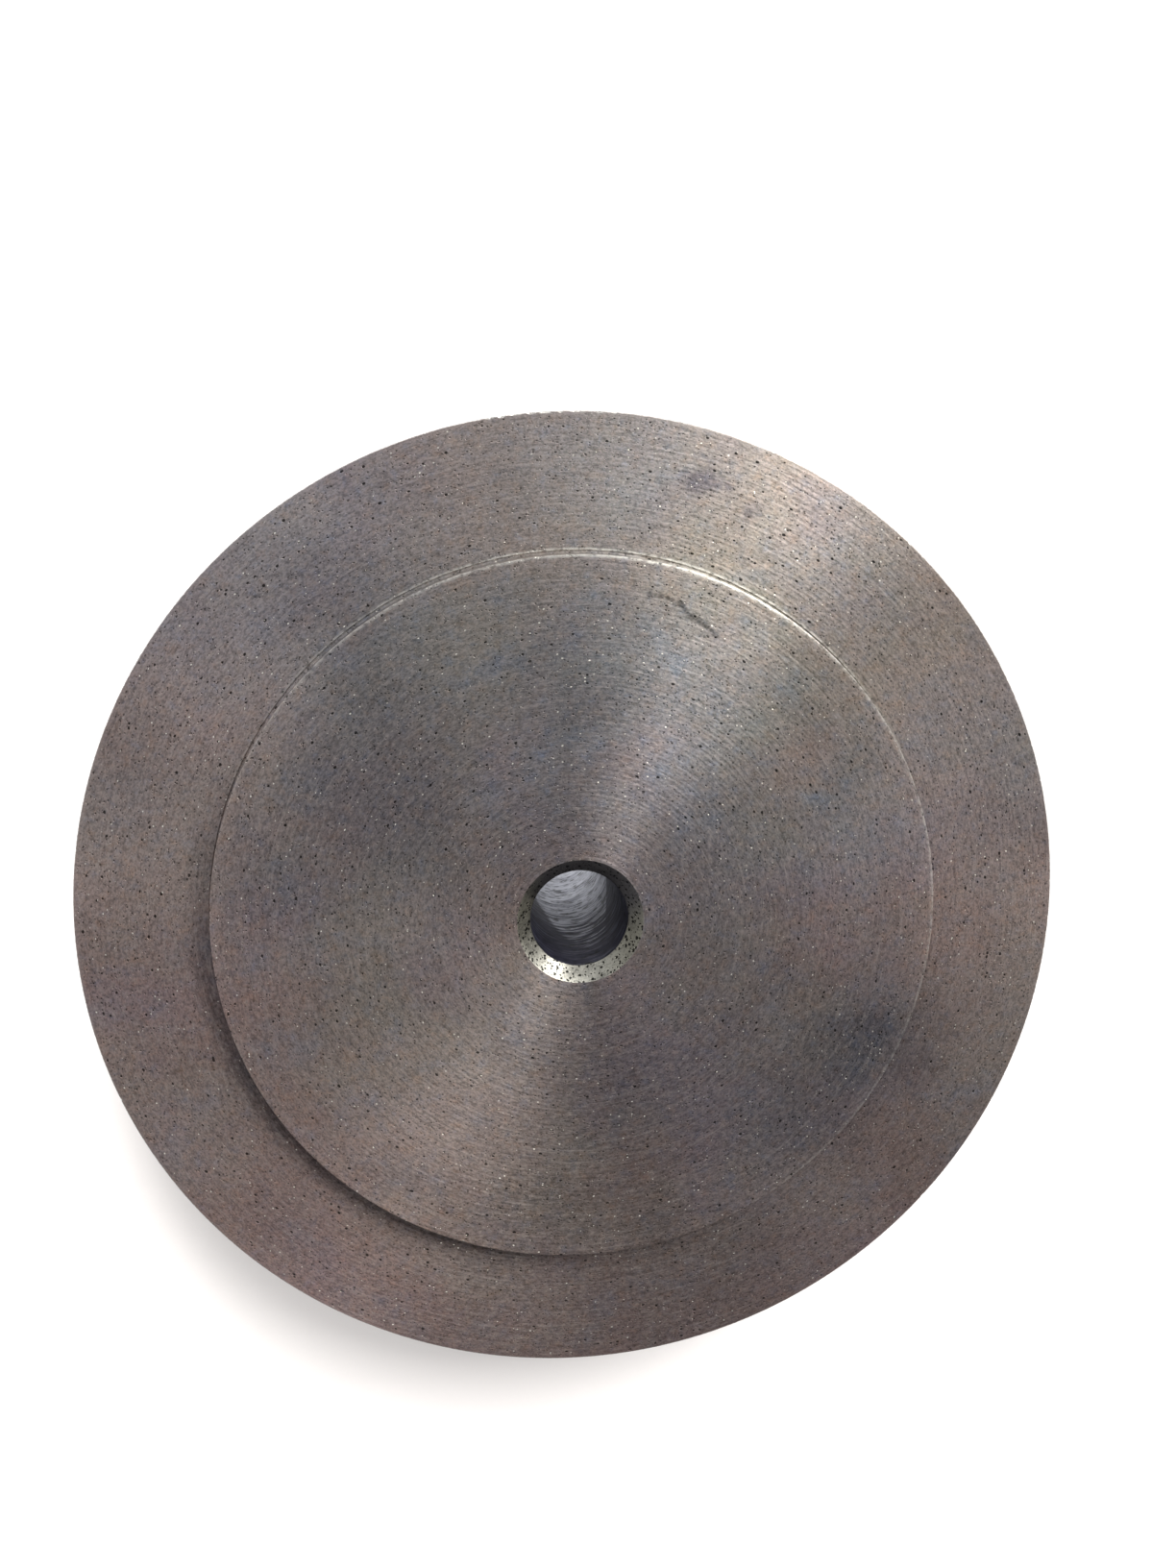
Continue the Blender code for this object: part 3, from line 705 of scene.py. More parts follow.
def felt():
    shader = Shader("oiled_felt", (0.2, 0.19, 0.17), 0.0, 0.95, Sheen_Weight=0.4)
    fibres = shader.cloudy(1500.0, 4.0, 0.75, 1.5)
    cloud = shader.cloudy(160.0, 3.0, 0.6)
    shader.colour = shader.mix(shader.ramp(cloud, 0.3, 0.7), (0.10, 0.09, 0.075), (0.27, 0.255, 0.225))
    shader.darken(shader.ramp(fibres, 0.5, 0.3, 0.0, 0.5))
    return shader.finished(fibres, 0.3 * MM)


def rubber():
    shader = Shader("moulded_rubber", (0.022, 0.022, 0.023), 0.0, 0.7, Specular_IOR_Level=0.4)
    grain = shader.cloudy(2200.0, 3.0, 0.6)
    bloom = shader.cloudy(180.0, 4.0, 0.6)
    shader.colour = shader.mix(shader.ramp(bloom, 0.4, 0.8), (0.016, 0.016, 0.017), (0.05, 0.049, 0.046))
    rough = shader.ramp(bloom, 0.3, 0.7, 0.6, 0.85)
    return shader.finished(grain, 0.04 * MM, rough)


# ---- the wheel head


# Chips in the rim: azimuth in degrees, then length along the rim and depth in millimetres
RIM_CHIPS = (
    (99.8, 1.8, 0.22),
    (98.4, 1.2, 0.30),
    (96.8, 2.2, 0.20),
    (95.2, 1.3, 0.28),
    (93.6, 2.1, 0.24),
    (91.9, 1.0, 0.34),
    (90.3, 2.3, 0.22),
    (87.7, 1.5, 0.24),
    (85.9, 1.0, 0.18),
    (147.6, 0.9, 0.16),
    (170.8, 0.8, 0.14),
    (201.0, 0.9, 0.16),
    (319.0, 0.8, 0.14),
)
# The side of the rim that took the knocks has smaller nicks, this far apart in degrees
NICKS = np.arange(-12, 82, 2.1)
CENTRE_NICK = (-109.5, 1.3, 0.34)


def chip_cutter(shape, azimuth, length, depth, radius, height, rng):
    """Adds a rough pebble that bites into a turned corner by that depth over that length."""
    size = Matrix.Diagonal((2 * depth * MM, length * MM, 2 * depth * MM, 1))
    turn = Matrix.Rotation(math.radians(azimuth), 4, "Z")
    made = bmesh.ops.create_icosphere(shape, subdivisions=3, radius=0.5)["verts"]
    for vertex in made:
        vertex.co *= rng.uniform(0.84, 1.1)
        vertex.co = turn @ (Vector((radius, 0, height)) + size @ vertex.co)


def chips(thing):
    """Bites the chips out of the head's rim and the nick out of the raised centre's edge."""
    rng = np.random.default_rng(7)
    shape = bmesh.new()
    for azimuth, length, depth in RIM_CHIPS:
        chip_cutter(shape, azimuth, length, depth, HEAD_RADIUS, FLANGE_TOP, rng)
    for azimuth in NICKS:
        azimuth += rng.uniform(-0.5, 0.5)
        length, depth = rng.uniform(0.4, 1.0), rng.uniform(0.07, 0.14)
        chip_cutter(shape, azimuth, length, depth, HEAD_RADIUS, FLANGE_TOP, rng)
    chip_cutter(shape, *CENTRE_NICK, CENTRE_RADIUS, HEAD_TOP, rng)
    cut(thing, mesh_of(shape, "chips"))


# How bright the edges of the face are at each azimuth in degrees: partly wear, partly painted highlight
# towards the window
WEAR_AZIMUTHS = (0, 30, 45, 95, 120, 150, 170, 285, 310, 360)
EDGE_WEAR_AND_SHINE_SHARES = (0.28, 0.40, 0.62, 0.80, 0.5, 0.15, 0.0, 0.0, 0.2, 0.28)


def edge_wear_and_shine_by_side(mesh):
    """Keeps the bright edges of the face to the side that took the knocks and faces the window: partly
    wear, partly painted highlight.
    """
    count = len(mesh.vertices)
    places, edge = np.empty(count * 3, np.float32), np.empty(count, np.float32)
    mesh.vertices.foreach_get("co", places)
    values = mesh.attributes["edge"].data
    values.foreach_get("value", edge)
    x, y, _ = places.reshape(-1, 3).T
    azimuth = np.degrees(np.arctan2(y, x)) % 360
    share = np.interp(azimuth, WEAR_AZIMUTHS, EDGE_WEAR_AND_SHINE_SHARES)
    values.foreach_set("value", (edge * share).astype(np.float32))


def wheel_head():
    foot_radius = 0.737 * HEAD_RADIUS
    foot_depth = 0.2 * MM
    step_radius = 16.4 * MM
    hub_radius = 18.5 * MM
    journal_radius = 12.5 * MM
    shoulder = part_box("upper_inner_race")[1].z + 0.3 * MM
    groove_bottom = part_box("retaining_ring")[0].z - 0.3 * MM
    groove_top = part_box("retaining_ring")[1].z + 0.3 * MM
    groove_radius = 11.95 * MM
    turned_ring = HEAD_RADIUS - 13 * MM
    skin_step = 0.25 * MM
    corners = [
        (BORE_RADIUS + BORE_CHAMFER, HEAD_TOP, 0.08 * MM, 0.15),
        (CENTRE_RADIUS, HEAD_TOP, 0.20 * MM, 0.75),
        (CENTRE_RADIUS + 0.05 * MM, FLANGE_TOP - foot_depth, 0.20 * MM, 0.15),
        (foot_radius, FLANGE_TOP - foot_depth, 0.06 * MM, 0.3),
        (foot_radius + 0.12 * MM, FLANGE_TOP, 0.12 * MM, 1.0),
        (HEAD_RADIUS, FLANGE_TOP, 0.10 * MM, 0.0),
        (HEAD_RADIUS, FLANGE_BOTTOM, 0.45 * MM, 0.4),
        (turned_ring, FLANGE_BOTTOM, 0.0),
        (turned_ring - 0.4 * MM, FLANGE_BOTTOM + skin_step, 0.0),
        (hub_radius, FLANGE_BOTTOM + skin_step, 3.2 * MM, 0.0),
        (hub_radius, shoulder + 1.0 * MM, 0.3 * MM),
        (step_radius, shoulder + 1.0 * MM, 0.1 * MM),
        (step_radius, shoulder, 0.2 * MM),
        (journal_radius, shoulder, 0.1 * MM),
        (journal_radius, groove_top, 0.05 * MM),
        (groove_radius, groove_top, 0.05 * MM),
        (groove_radius, groove_bottom, 0.05 * MM),
        (journal_radius, groove_bottom, 0.05 * MM),
        (journal_radius, JOURNAL_END + 0.8 * MM, 0.05 * MM),
        (journal_radius - 0.8 * MM, JOURNAL_END, 0.05 * MM),
        (BORE_RADIUS + 0.8 * MM, JOURNAL_END, 0.05 * MM),
        (BORE_RADIUS, JOURNAL_END + 0.8 * MM, 0.05 * MM),
        (BORE_RADIUS, HEAD_TOP - BORE_CHAMFER, 0.06 * MM),
    ]
    outline = divided(rounded(corners, 4, 0.35 * MM), 4 * MM)
    mesh = turned_mesh("wheel_head_iron", outline, 504)
    edge_wear_and_shine_by_side(mesh)
    thing = new_object("wheel_head_iron", mesh, "head")
    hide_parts("wheel_head")
    chips(thing)
    looks = (turned_iron, chamfer_iron, bore_iron, cast_skin, fine_turned_iron, chipped_iron)
    mesh = give(finish_mesh(thing.data, 40), *(look() for look in looks))
    face, chamfer, bore, skin, fine, chipped = range(6)
    for polygon in mesh.polygons:
        centre, normal = polygon.center, polygon.normal
        radius = math.hypot(centre.x, centre.y)
        slanted = 0.06 < abs(normal.z) < 0.998
        at_rim = radius > HEAD_RADIUS - 1.2 * MM and centre.z > FLANGE_TOP - 1.2 * MM
        beside_fillet = math.hypot(HEAD_RADIUS - radius, FLANGE_TOP - centre.z) > 0.05 * MM
        if at_rim and slanted and beside_fillet:
            polygon.material_index = chipped
        elif radius < BORE_RADIUS + 0.03 * MM and centre.z < HEAD_TOP - BORE_CHAMFER:
            polygon.material_index = bore
        elif radius < BORE_RADIUS + BORE_CHAMFER and centre.z > HEAD_TOP - BORE_CHAMFER - 0.1 * MM:
            polygon.material_index = chamfer
        elif centre.z > FLANGE_BOTTOM - 0.01 * MM and radius > turned_ring - 0.1 * MM:
            polygon.material_index = face
        elif centre.z > FLANGE_TOP - 1 * MM:
            polygon.material_index = face
        elif centre.z > FLANGE_BOTTOM - 3 * MM and radius > hub_radius + 0.05 * MM:
            polygon.material_index = skin
        else:
            polygon.material_index = fine
    return thing


# ---- the pedestal


def pedestal(paint, machined):
    low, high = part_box("pedestal_base")
    base_radius = high.x
    bottom, top = low.z, high.z
    seat = 26.3 * MM
    shoulder_radius = 23 * MM
    upper_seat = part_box("upper_outer_race")[0].z - 0.3 * MM
    lower_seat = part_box("lower_outer_race")[1].z + 0.3 * MM
    collar_radius = 35.5 * MM
    collar_bottom = top - 8 * MM
    column_radius = 33.5 * MM
    column_bottom = 38 * MM
    edge_top = 15.5 * MM
    flare_width = base_radius - 3.5 * MM - column_radius
    flare_height = column_bottom - edge_top
    flare = []
    for i in range(1, 24):
        angle = math.radians(90) * i / 24
        radius = column_radius + flare_width * (1 - math.cos(angle))
        flare.append((radius, column_bottom - flare_height * math.sin(angle), 0.0))
    corners = [
        (seat, top, 0.5 * MM),
        (collar_radius, top, 0.7 * MM),
        (collar_radius, collar_bottom, 0.9 * MM),
        (column_radius, collar_bottom - 1.6 * MM, 1.5 * MM),
        (column_radius, column_bottom, 0.0),
        *flare,
        (base_radius - 3.5 * MM, edge_top, 0.0),
        (base_radius, edge_top, 3.4 * MM),
        (base_radius, bottom, 0.8 * MM),
        (40 * MM, bottom, 0.4 * MM),
        (40 * MM, 13 * MM, 2 * MM),
        (30 * MM, 24.5 * MM, 2 * MM),
        (seat, 28 * MM, 0.5 * MM),
        (seat, lower_seat, 0.1 * MM),
        (shoulder_radius, lower_seat, 0.3 * MM),
        (shoulder_radius, upper_seat, 0.3 * MM),
        (seat, upper_seat, 0.1 * MM),
    ]
    mesh = turned_mesh("pedestal_casting", divided(rounded(corners, 6, 0.9 * MM), 1.6 * MM), 288)
    edge = np.empty(len(mesh.vertices), np.float32)
    mesh.attributes["edge"].data.foreach_get("value", edge)

    def sand_cast(points):
        """Slight unevenness of the unmachined outside, none on the machined seats and the foot."""
        radius = np.hypot(points[:, 0], points[:, 1])
        height = points[:, 2]
        outside = (radius > column_radius - 0.5 * MM) & (height < collar_bottom - 1 * MM)
        outside &= height > bottom + 1.2 * MM
        amount = np.zeros(len(points))
        for i in np.nonzero(outside)[0]:
            spot = Vector(points[i])
            amount[i] = 0.16 * noise.noise(spot * 42) + 0.05 * noise.noise(spot * 190)
        inward = points * np.array([1, 1, 0]) / np.maximum(radius, 1e-6)[:, None]
        return points - inward * (np.clip(amount + 0.12, 0, 1) * MM)[:, None]

    move_vertices(mesh, sand_cast)
    thing = new_object("pedestal_casting", mesh, "base")
    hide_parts("pedestal_base")
    for x, y in foot_centres():
        spot = Matrix.Translation((x, y, bottom)) @ OFF_CORNERS
        cut(thing, cylinder(SCREW_HOLE, 13.6 * MM, spot, 24))
    mesh = give(finish_mesh(thing.data, 40), paint, machined)
    for polygon in mesh.polygons:
        centre = polygon.center
        radius = math.hypot(centre.x, centre.y)
        on_top = centre.z > top - 0.05 * MM
        inside = radius < seat + 0.6 * MM and centre.z > 27 * MM
        under = centre.z < bottom + 0.05 * MM
        polygon.material_index = int(on_top or inside or under)
    return thing


def foot_centres():
    """Centres of the three rubber feet, from the frame."""
    for i in (1, 2, 3):
        low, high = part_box(f"rubber_foot_{i}")
        yield ((low.x + high.x) / 2, (low.y + high.y) / 2)


# ---- bearings


def groove(pitch_radius, radius, land, middle, outer):
    """A race's ball groove as (radius, height, edge) points."""
    half = math.acos(abs(land - pitch_radius) / radius)
    points = []
    for i in range(17):
        angle = -half + 2 * half * i / 16
        if outer:
            spot = (pitch_radius + radius * math.cos(angle), middle + radius * math.sin(angle))
        else:
            spot = (pitch_radius - radius * math.cos(angle), middle - radius * math.sin(angle))
        points.append((*spot, 0.0))
    return points


def bearing(prefix, race_steel, ball_steel, cage_steel, shield_steel):
    """Finer races, balls, cage and shields in place of one bearing's plain solids."""
    low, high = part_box(f"{prefix}_outer_race")
    bottom, top = low.z, high.z
    middle = (bottom + top) / 2
    pitch_radius = 19.52 * MM
    ball_radius = 3.969 * MM
    groove_radius = ball_radius + 0.3 * MM
    outer_land, inner_land = 22.3 * MM, 17 * MM
    outer_radius, inner_bore = high.x, RACE_BORE

    # Known fault: rounded() closes this open stretch, which leaves a groove in the race's top.
    # The whole outline should go through it at once.
    edge = 0.9 * MM
    wall = [(outer_radius, top, edge), (outer_radius, bottom, edge)]
    outer = rounded([*wall, (outer_land, bottom, 0.3 * MM)], 5)
    outer += groove(pitch_radius, groove_radius, outer_land, middle, True)
    outer += [(outer_land, top - 0.3 * MM, 0.0), (outer_land + 0.3 * MM, top, 0.0)]
    piece(f"{prefix}_outer_race", "ground", outer, 144, "base", race_steel)

    inner = [(inner_land - 0.3 * MM, top, 0.0), (inner_land, top - 0.3 * MM, 0.0)]
    inner += groove(pitch_radius, groove_radius, inner_land, middle, False)
    inner += [(inner_land, bottom + 0.3 * MM, 0.0), (inner_land - 0.3 * MM, bottom, 0.0)]
    inner += [(inner_bore + 0.7 * MM, bottom, 0.0), (inner_bore, bottom + 0.7 * MM, 0.0)]
    inner += [(inner_bore, top - 0.7 * MM, 0.0), (inner_bore + 0.7 * MM, top, 0.0)]
    piece(f"{prefix}_inner_race", "ground", inner, 144, "head", race_steel)

    ball_shape = bmesh.new()
    bmesh.ops.create_uvsphere(ball_shape, u_segments=40, v_segments=20, radius=ball_radius)
    ball_mesh = give(mesh_of(ball_shape, f"{prefix}_ball_mesh"), ball_steel)
    ball_mesh.shade_smooth()

    web = 0.8 * MM
    corners = ring_corners(f"{prefix}_cage", pitch_radius - web, 0.25 * MM, pitch_radius + web)
    cage_mesh = turned_mesh(f"{prefix}_cage_pressed", rounded(corners, 3), 144)
    cage = new_object(f"{prefix}_cage_pressed", cage_mesh, f"{prefix}_balls")
    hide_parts(f"{prefix}_cage")
    for i in range(1, 10):
        angle = TURN * (i - 1) / 9
        spot = Vector((pitch_radius * math.cos(angle), pitch_radius * math.sin(angle), middle))
        name = f"{prefix}_ball_{i}_polished"
        ball = new_object(name, ball_mesh, f"{prefix}_balls")
        ball.location = spot
        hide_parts(f"{prefix}_ball_{i}")
        outward = Matrix.Rotation(angle, 4, "Z") @ Matrix.Rotation(math.radians(90), 4, "Y")
        cut(cage, cylinder(ball_radius + 0.35 * MM, 8 * MM, Matrix.Translation(spot) @ outward, 40))
    give(finish_mesh(cage.data), cage_steel)

    for side in ("top", "bottom"):
        shield_low, shield_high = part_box(f"{prefix}_shield_{side}")
        inner_radius = inner_land + 0.5 * MM
        outer_edge = shield_high.x
        dish = 0.12 * MM if side == "top" else -0.12 * MM
        low_z, high_z = shield_low.z, shield_high.z
        shield = rounded(
            [
                (outer_edge, high_z, 0.15 * MM),
                (outer_edge, low_z, 0.15 * MM),
                (outer_edge - 1 * MM, low_z + max(0, dish), 0.4 * MM),
                (inner_radius, low_z + max(0, dish), 0.12 * MM),
                (inner_radius, high_z + min(0, dish), 0.12 * MM),
                (outer_edge - 1 * MM, high_z + min(0, dish), 0.4 * MM),
            ],
            3,
        )
        name = f"{prefix}_shield_{side}"
        piece(name, "pressed", shield, 144, "base", shield_steel)


def piece(node, word, points, steps, body, material, sharp=35):
    """A turned piece that stands for the CAD node of that name."""
    mesh = give(finish_mesh(turned_mesh(f"{node}_{word}", points, steps), sharp), material)
    thing = new_object(f"{node}_{word}", mesh, body)
    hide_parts(node)
    return thing


# ---- small parts


def ring_corners(node, inner, fillet, outer=None):
    """The outline of a plain ring node, with its edges rounded."""
    low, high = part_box(node)
    outer = outer or high.x
    sides = ((outer, high.z), (outer, low.z), (inner, low.z), (inner, high.z))
    return [(radius, height, fillet) for radius, height in sides]


def journal_parts(zinc, phosphate):
    sleeve = rounded(ring_corners("spacer_sleeve", RACE_BORE, 0.4 * MM))
    piece("spacer_sleeve", "turned", sleeve, 128, "head", zinc)
    washer = rounded(ring_corners("end_washer", RACE_BORE, 0.25 * MM))
    piece("end_washer", "stamped", washer, 128, "head", zinc)

    low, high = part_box("retaining_ring")
    ring_radius = 15.3 * MM
    seat_radius = 12.25 * MM
    points = rounded(ring_corners("retaining_ring", seat_radius, 0.15 * MM, ring_radius), 3)
    ring = piece("retaining_ring", "sprung", points, 128, "head", phosphate)
    middle = (low.z + high.z) / 2
    lug_y = 4.6 * MM
    lug_x = math.sqrt(ring_radius**2 - lug_y**2)
    thickness = high.z - low.z
    for side in (-1, 1):
        spot = Matrix.Translation((lug_x, side * lug_y, middle))
        cut(ring, cylinder(2 * MM, thickness, spot, 32), "UNION")
    gap = Matrix.Translation((ring_radius, 0, middle))
    cut(ring, box_mesh((ring_radius, 6 * MM, 4 * thickness), gap))
    for side in (-1, 1):
        spot = Matrix.Translation((lug_x, side * lug_y, middle))
        cut(ring, cylinder(1 * MM, 4 * thickness, spot, 24))
    give(finish_mesh(ring.data), phosphate)


def seal(felt_material, zinc):
    corners = ring_corners("felt_seal", 19 * MM, 0.3 * MM)
    points = divided(rounded(corners, 4), 0.6 * MM)
    ring = piece("felt_seal", "felted", points, 240, "base", felt_material, 60)

    def fuzz(places):
        amount = np.array([noise.noise(Vector(p) * 1600) for p in places])
        return places * (1 - 0.0012 * np.clip(amount, 0, 1))[:, None] * np.array([1, 1, 0]) + (
            places * np.array([0, 0, 1])
        )

    move_vertices(ring.data, fuzz)

    low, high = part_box("seal_retainer")
    lip = 0.35 * MM
    points = rounded(
        [
            (high.x, high.z, 0.25 * MM),
            (high.x, low.z, 0.15 * MM),
            (20.5 * MM, low.z, 0.12 * MM),
            (20.5 * MM, high.z - lip, 0.12 * MM),
            (22.5 * MM, high.z - lip, 0.3 * MM),
            (23.2 * MM, high.z, 0.3 * MM),
        ],
        4,
    )
    piece("seal_retainer", "pressed", points, 144, "base", zinc)


def bottom_cover(zinc):
    low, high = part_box("bottom_cover")
    step, opening = 0.6 * MM, 13 * MM
    points = rounded(
        [
            (high.x, high.z, 0.3 * MM),
            (high.x, low.z, 0.8 * MM),
            (high.x - 3.5 * MM, low.z, 0.6 * MM),
            (high.x - 4.5 * MM, low.z + step, 0.6 * MM),
            (30 * MM, low.z + step, 0.6 * MM),
            (29 * MM, low.z, 0.6 * MM),
            (opening, low.z, 0.4 * MM),
            (opening, high.z, 0.3 * MM),
        ],
        4,
    )
    cover = piece("bottom_cover", "stamped", divided(points, 4 * MM), 192, "base", zinc)
    for x, y in foot_centres():
        spot = Matrix.Translation((x, y, high.z)) @ OFF_CORNERS
        cut(cover, cylinder(SCREW_HOLE, 8 * MM, spot, 32))
    give(finish_mesh(cover.data), zinc)


def feet(rubber_material, zinc):
    """Ribbed rubber feet, each with a threaded, cross-recessed screw sunk into it."""
    for i, (x, y) in enumerate(list(foot_centres()), 1):
        low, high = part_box(f"rubber_foot_{i}")
        outer = (high.x - low.x) / 2
        recess_top = high.z - 1.2 * MM
        corners = [
            (outer, high.z, 0.2 * MM),
            (outer, 3.1 * MM, 0.15 * MM),
            (outer - 0.35 * MM, 2.9 * MM, 0.1 * MM),
            (outer - 0.35 * MM, 2.5 * MM, 0.1 * MM),
            (outer, 2.3 * MM, 0.15 * MM),
            (outer, 1.0 * MM, 0.4 * MM),
            (outer - 1.0 * MM, 0, 0.4 * MM),
            (4.5 * MM, 0, 0.3 * MM),
            (4.5 * MM, recess_top, 0.2 * MM),
            (SCREW_HOLE, recess_top, 0.1 * MM),
            (SCREW_HOLE, high.z, 0.1 * MM),
        ]
        mesh = turned_mesh(f"rubber_foot_{i}_moulded", rounded(corners, 3, 0.2 * MM), 96, (x, y))
        give(finish_mesh(mesh), rubber_material)
        foot = new_object(f"rubber_foot_{i}_moulded", mesh, "base")
        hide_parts(f"rubber_foot_{i}")
        foot_screw(i, x, y, zinc)


def foot_screw(i, x, y, zinc):
    low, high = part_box(f"foot_screw_{i}")
    head_top = low.z + 2 * MM
    head_radius = (high.x - low.x) / 2
    shank = 2 * MM
    pitch = 0.7 * MM
    profile = [(0.0, high.z), (shank - 0.5 * MM, high.z)]
    rows = round((high.z - 0.7 * MM - head_top) / (pitch / 7))
    profile += [
        (shank - 0.02 * MM, high.z - 0.7 * MM - (high.z - 0.7 * MM - head_top) * k / rows)
        for k in range(rows + 1)
    ]
    profile += [(head_radius, head_top), (head_radius, head_top - 0.9 * MM)]
    for k in range(1, 9):
        angle = math.radians(90) * k / 8
        profile.append(
            (
                (head_radius - 1.1 * MM) + 1.1 * MM * math.cos(angle),
                head_top - 0.9 * MM - 1.1 * MM * math.sin(angle),
            )
        )
    profile.append((0.0, low.z))
    steps = 48
    shape = bmesh.new()
    rings = []
    for radius, height in profile:
        ring = []
        for k in range(steps):
            angle = TURN * k / steps
            depth = 0.0
            if head_top + 0.3 * MM < height < high.z - 0.8 * MM:
                share = (height / pitch - k / steps) % 1.0
                depth = 0.42 * MM * abs(2 * share - 1)
            spot = (radius - depth) * math.cos(angle), (radius - depth) * math.sin(angle)
            ring.append(shape.verts.new((x + spot[0], y + spot[1], height)))
        rings.append(ring)
    for upper, lower in zip(rings, rings[1:]):
        for k in range(steps):
            following = (k + 1) % steps
            shape.faces.new((upper[k], lower[k], lower[following], upper[following]))
    bmesh.ops.remove_doubles(shape, verts=shape.verts, dist=1e-7)
    bmesh.ops.dissolve_degenerate(shape, edges=shape.edges, dist=1e-8)
    name = f"foot_screw_{i}_plated"
    thing = new_object(name, mesh_of(shape, name), "base")
    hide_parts(f"foot_screw_{i}")
    for angle in (20, 110):
        turn = Matrix.Translation((x, y, low.z)) @ Matrix.Rotation(math.radians(angle), 4, "Z")
        cut(thing, box_mesh((4.2 * MM, 0.9 * MM, 2.4 * MM), turn))
    give(finish_mesh(thing.data), zinc)


# ---- stage, lights, camera


def stage():
    """A pale floor under the feet."""
    shape = bmesh.new()
    bmesh.ops.create_circle(shape, cap_ends=True, segments=64, radius=3.0)
    floor = linked("studio_floor", mesh_of(shape, "studio_floor"))
    shader = Shader("floor_paper", (0.86, 0.82, 0.79), 0.0, 0.9, Specular_IOR_Level=0.1)
    grain = shader.cloudy(900.0, 3.0, 0.6)
    shader.set("Base Color", shader.mix(grain, (0.87, 0.83, 0.80), (0.85, 0.81, 0.78)))
    shader.set("Emission Color", (0.97, 0.98, 1.0, 1))
    far = shader.vector("LENGTH", shader.place)
    shader.set("Emission Strength", shader.ramp(far, 0.35, 1.5, 0.0, 0.33))
    give(floor.data, shader.material)
    return floor


def lamp(name, position, target, size, power, colour=(1, 1, 1), size_y=None):
    light = bpy.data.lights.new(name, "AREA")
    light.shape = "RECTANGLE"
    light.size = size
    light.size_y = size_y or size
    light.energy = power
    light.color = colour
    thing = linked(name, light)
    thing.location = position
    direction = Vector(target) - Vector(position)
    thing.rotation_euler = direction.to_track_quat("-Z", "Y").to_euler()
    return thing


def from_axis(azimuth, tilt, distance, height=0.0):
    """A point that far from the head's centre, tilted from the vertical towards an azimuth."""
    azimuth, tilt = math.radians(azimuth), math.radians(tilt)
    return (
        distance * math.sin(tilt) * math.cos(azimuth),
        distance * math.sin(tilt) * math.sin(azimuth),
        height + distance * math.cos(tilt),
    )


def lights(floor):
    """A tall window, a soft fill, floor lights, a glow in the bore, and a soft sky."""
    centre = (0, 0, FLANGE_TOP)
    on_iron = (
        lamp("window", from_axis(50, 56, 1.0, HEAD_TOP), centre, 0.36, 12.7, (1.0, 0.985, 0.955), 0.85),
        lamp("fill", from_axis(0, 47, 1.0, HEAD_TOP), centre, 0.6, 1.8, (1.0, 0.96, 0.93)),
    )
    not_the_floor = bpy.data.collections.new("not_the_floor")
    not_the_floor.objects.link(floor)
    not_the_floor.collection_objects[0].light_linking.link_state = "EXCLUDE"
    for light in on_iron:
        light.light_linking.receiver_collection = not_the_floor
    for name, azimuth, tilt, size, power in (
        ("floor_light", 82, 34, 0.16, 12.0),
        ("floor_fill", 256, 30, 0.9, 3.6),
    ):
        light = lamp(name, from_axis(azimuth, tilt, 1.0, FLANGE_TOP), centre, size, power)
        light.visible_glossy = False
    glow = lamp("bore_glow", (-0.002, 0.006, 0.010), (-0.002, 0.006, 0.05), 0.028, 0.0042)
    glow.visible_camera = False
    sky()


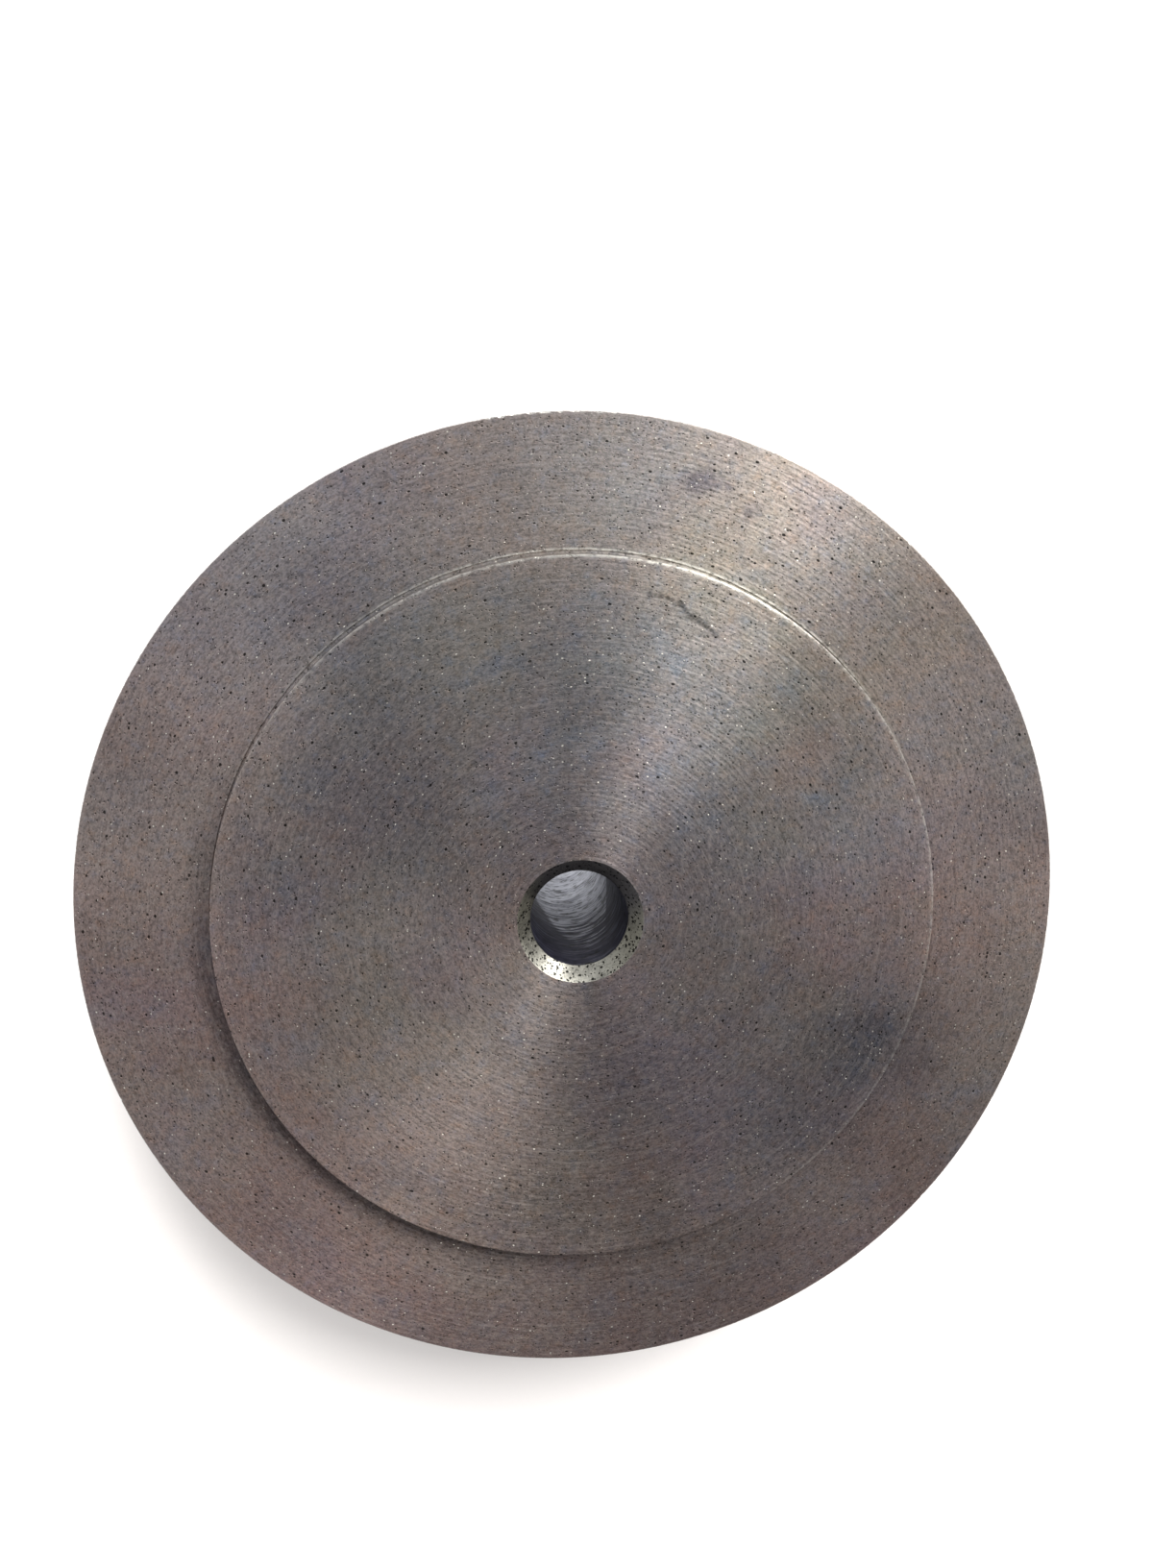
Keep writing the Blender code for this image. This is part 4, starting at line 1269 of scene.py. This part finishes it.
def sky():
    """Soft room light: bright and cool to the upper left, dim and warm to the lower right."""
    world = bpy.data.worlds.new("studio")
    bpy.context.scene.world = world
    world.use_nodes = True
    tree = world.node_tree

    def node(kind, **settings):
        made = tree.nodes.new("ShaderNode" + kind)
        for key, value in settings.items():
            setattr(made, key, value)
        return made

    def ramp(value, low, high):
        made = node("MapRange", interpolation_type="SMOOTHSTEP")
        made.inputs["From Min"].default_value = low
        made.inputs["From Max"].default_value = high
        tree.links.new(value, made.inputs["Value"])
        return made.outputs["Result"]

    def mix(share, first, second):
        made = node("MixRGB")
        tree.links.new(share, made.inputs["Fac"])
        for value, key in ((first, "Color1"), (second, "Color2")):
            if isinstance(value, tuple):
                made.inputs[key].default_value = (*value, 1)
            else:
                tree.links.new(value, made.inputs[key])
        return made.outputs["Color"]

    direction = node("TexCoord").outputs["Generated"]
    bright_side = node("VectorMath", operation="DOT_PRODUCT")
    tree.links.new(direction, bright_side.inputs[0])
    azimuth = math.radians(125)
    bright_side.inputs[1].default_value = (math.cos(azimuth), math.sin(azimuth), 0)
    height = node("SeparateXYZ")
    tree.links.new(direction, height.inputs[0])
    overhead = mix(
        ramp(bright_side.outputs["Value"], -0.62, 0.45), (0.03, 0.026, 0.022), (0.86, 0.88, 0.92)
    )
    colour = mix(ramp(height.outputs["Z"], 0.12, 0.5), (0.75, 0.75, 0.75), overhead)
    background = tree.nodes["Background"]
    tree.links.new(colour, background.inputs["Color"])
    background.inputs["Strength"].default_value = 1.0


def camera():
    """Looks almost straight down on the head, from 2.85 head radii."""
    data = bpy.data.cameras.new("camera")
    data.sensor_width = 36
    data.lens = 31.99
    data.clip_start = 0.005
    thing = linked("camera", data)
    eye = Vector((-0.2559, 0.8079, 2.733)) * HEAD_RADIUS
    thing.location = eye + Vector((0, 0, FLANGE_TOP))
    thing.rotation_euler = Euler((math.radians(-11.0), math.radians(-5.75), 0))
    bpy.context.scene.camera = thing
    bpy.context.scene.view_settings.view_transform = "Standard"


def main():
    camera()
    lights(stage())
    machined = steel("machined_iron", (0.17, 0.165, 0.16), (0.36, 0.35, 0.33), 0.36, 2400.0)
    zinc = steel("zinc_plate", (0.38, 0.39, 0.39), (0.60, 0.61, 0.60), 0.3, 1500.0)
    race_steel = steel("ground_steel", (0.46, 0.47, 0.49), (0.66, 0.67, 0.69), 0.16, 7000.0, 0.004)
    ball_steel = steel("polished_steel", (0.62, 0.63, 0.65), (0.72, 0.73, 0.75), 0.07, 900.0, 0.001)
    cage_steel = steel("pressed_steel", (0.36, 0.34, 0.31), (0.56, 0.54, 0.50), 0.3, 1800.0)
    phosphate = steel("phosphated_steel", (0.05, 0.05, 0.055), (0.12, 0.12, 0.13), 0.42, 1800.0)
    wheel_head()
    pedestal(enamel(), machined)
    for prefix in ("upper", "lower"):
        bearing(prefix, race_steel, ball_steel, cage_steel, zinc)
    journal_parts(zinc, phosphate)
    seal(felt(), zinc)
    bottom_cover(zinc)
    feet(rubber(), zinc)


main()
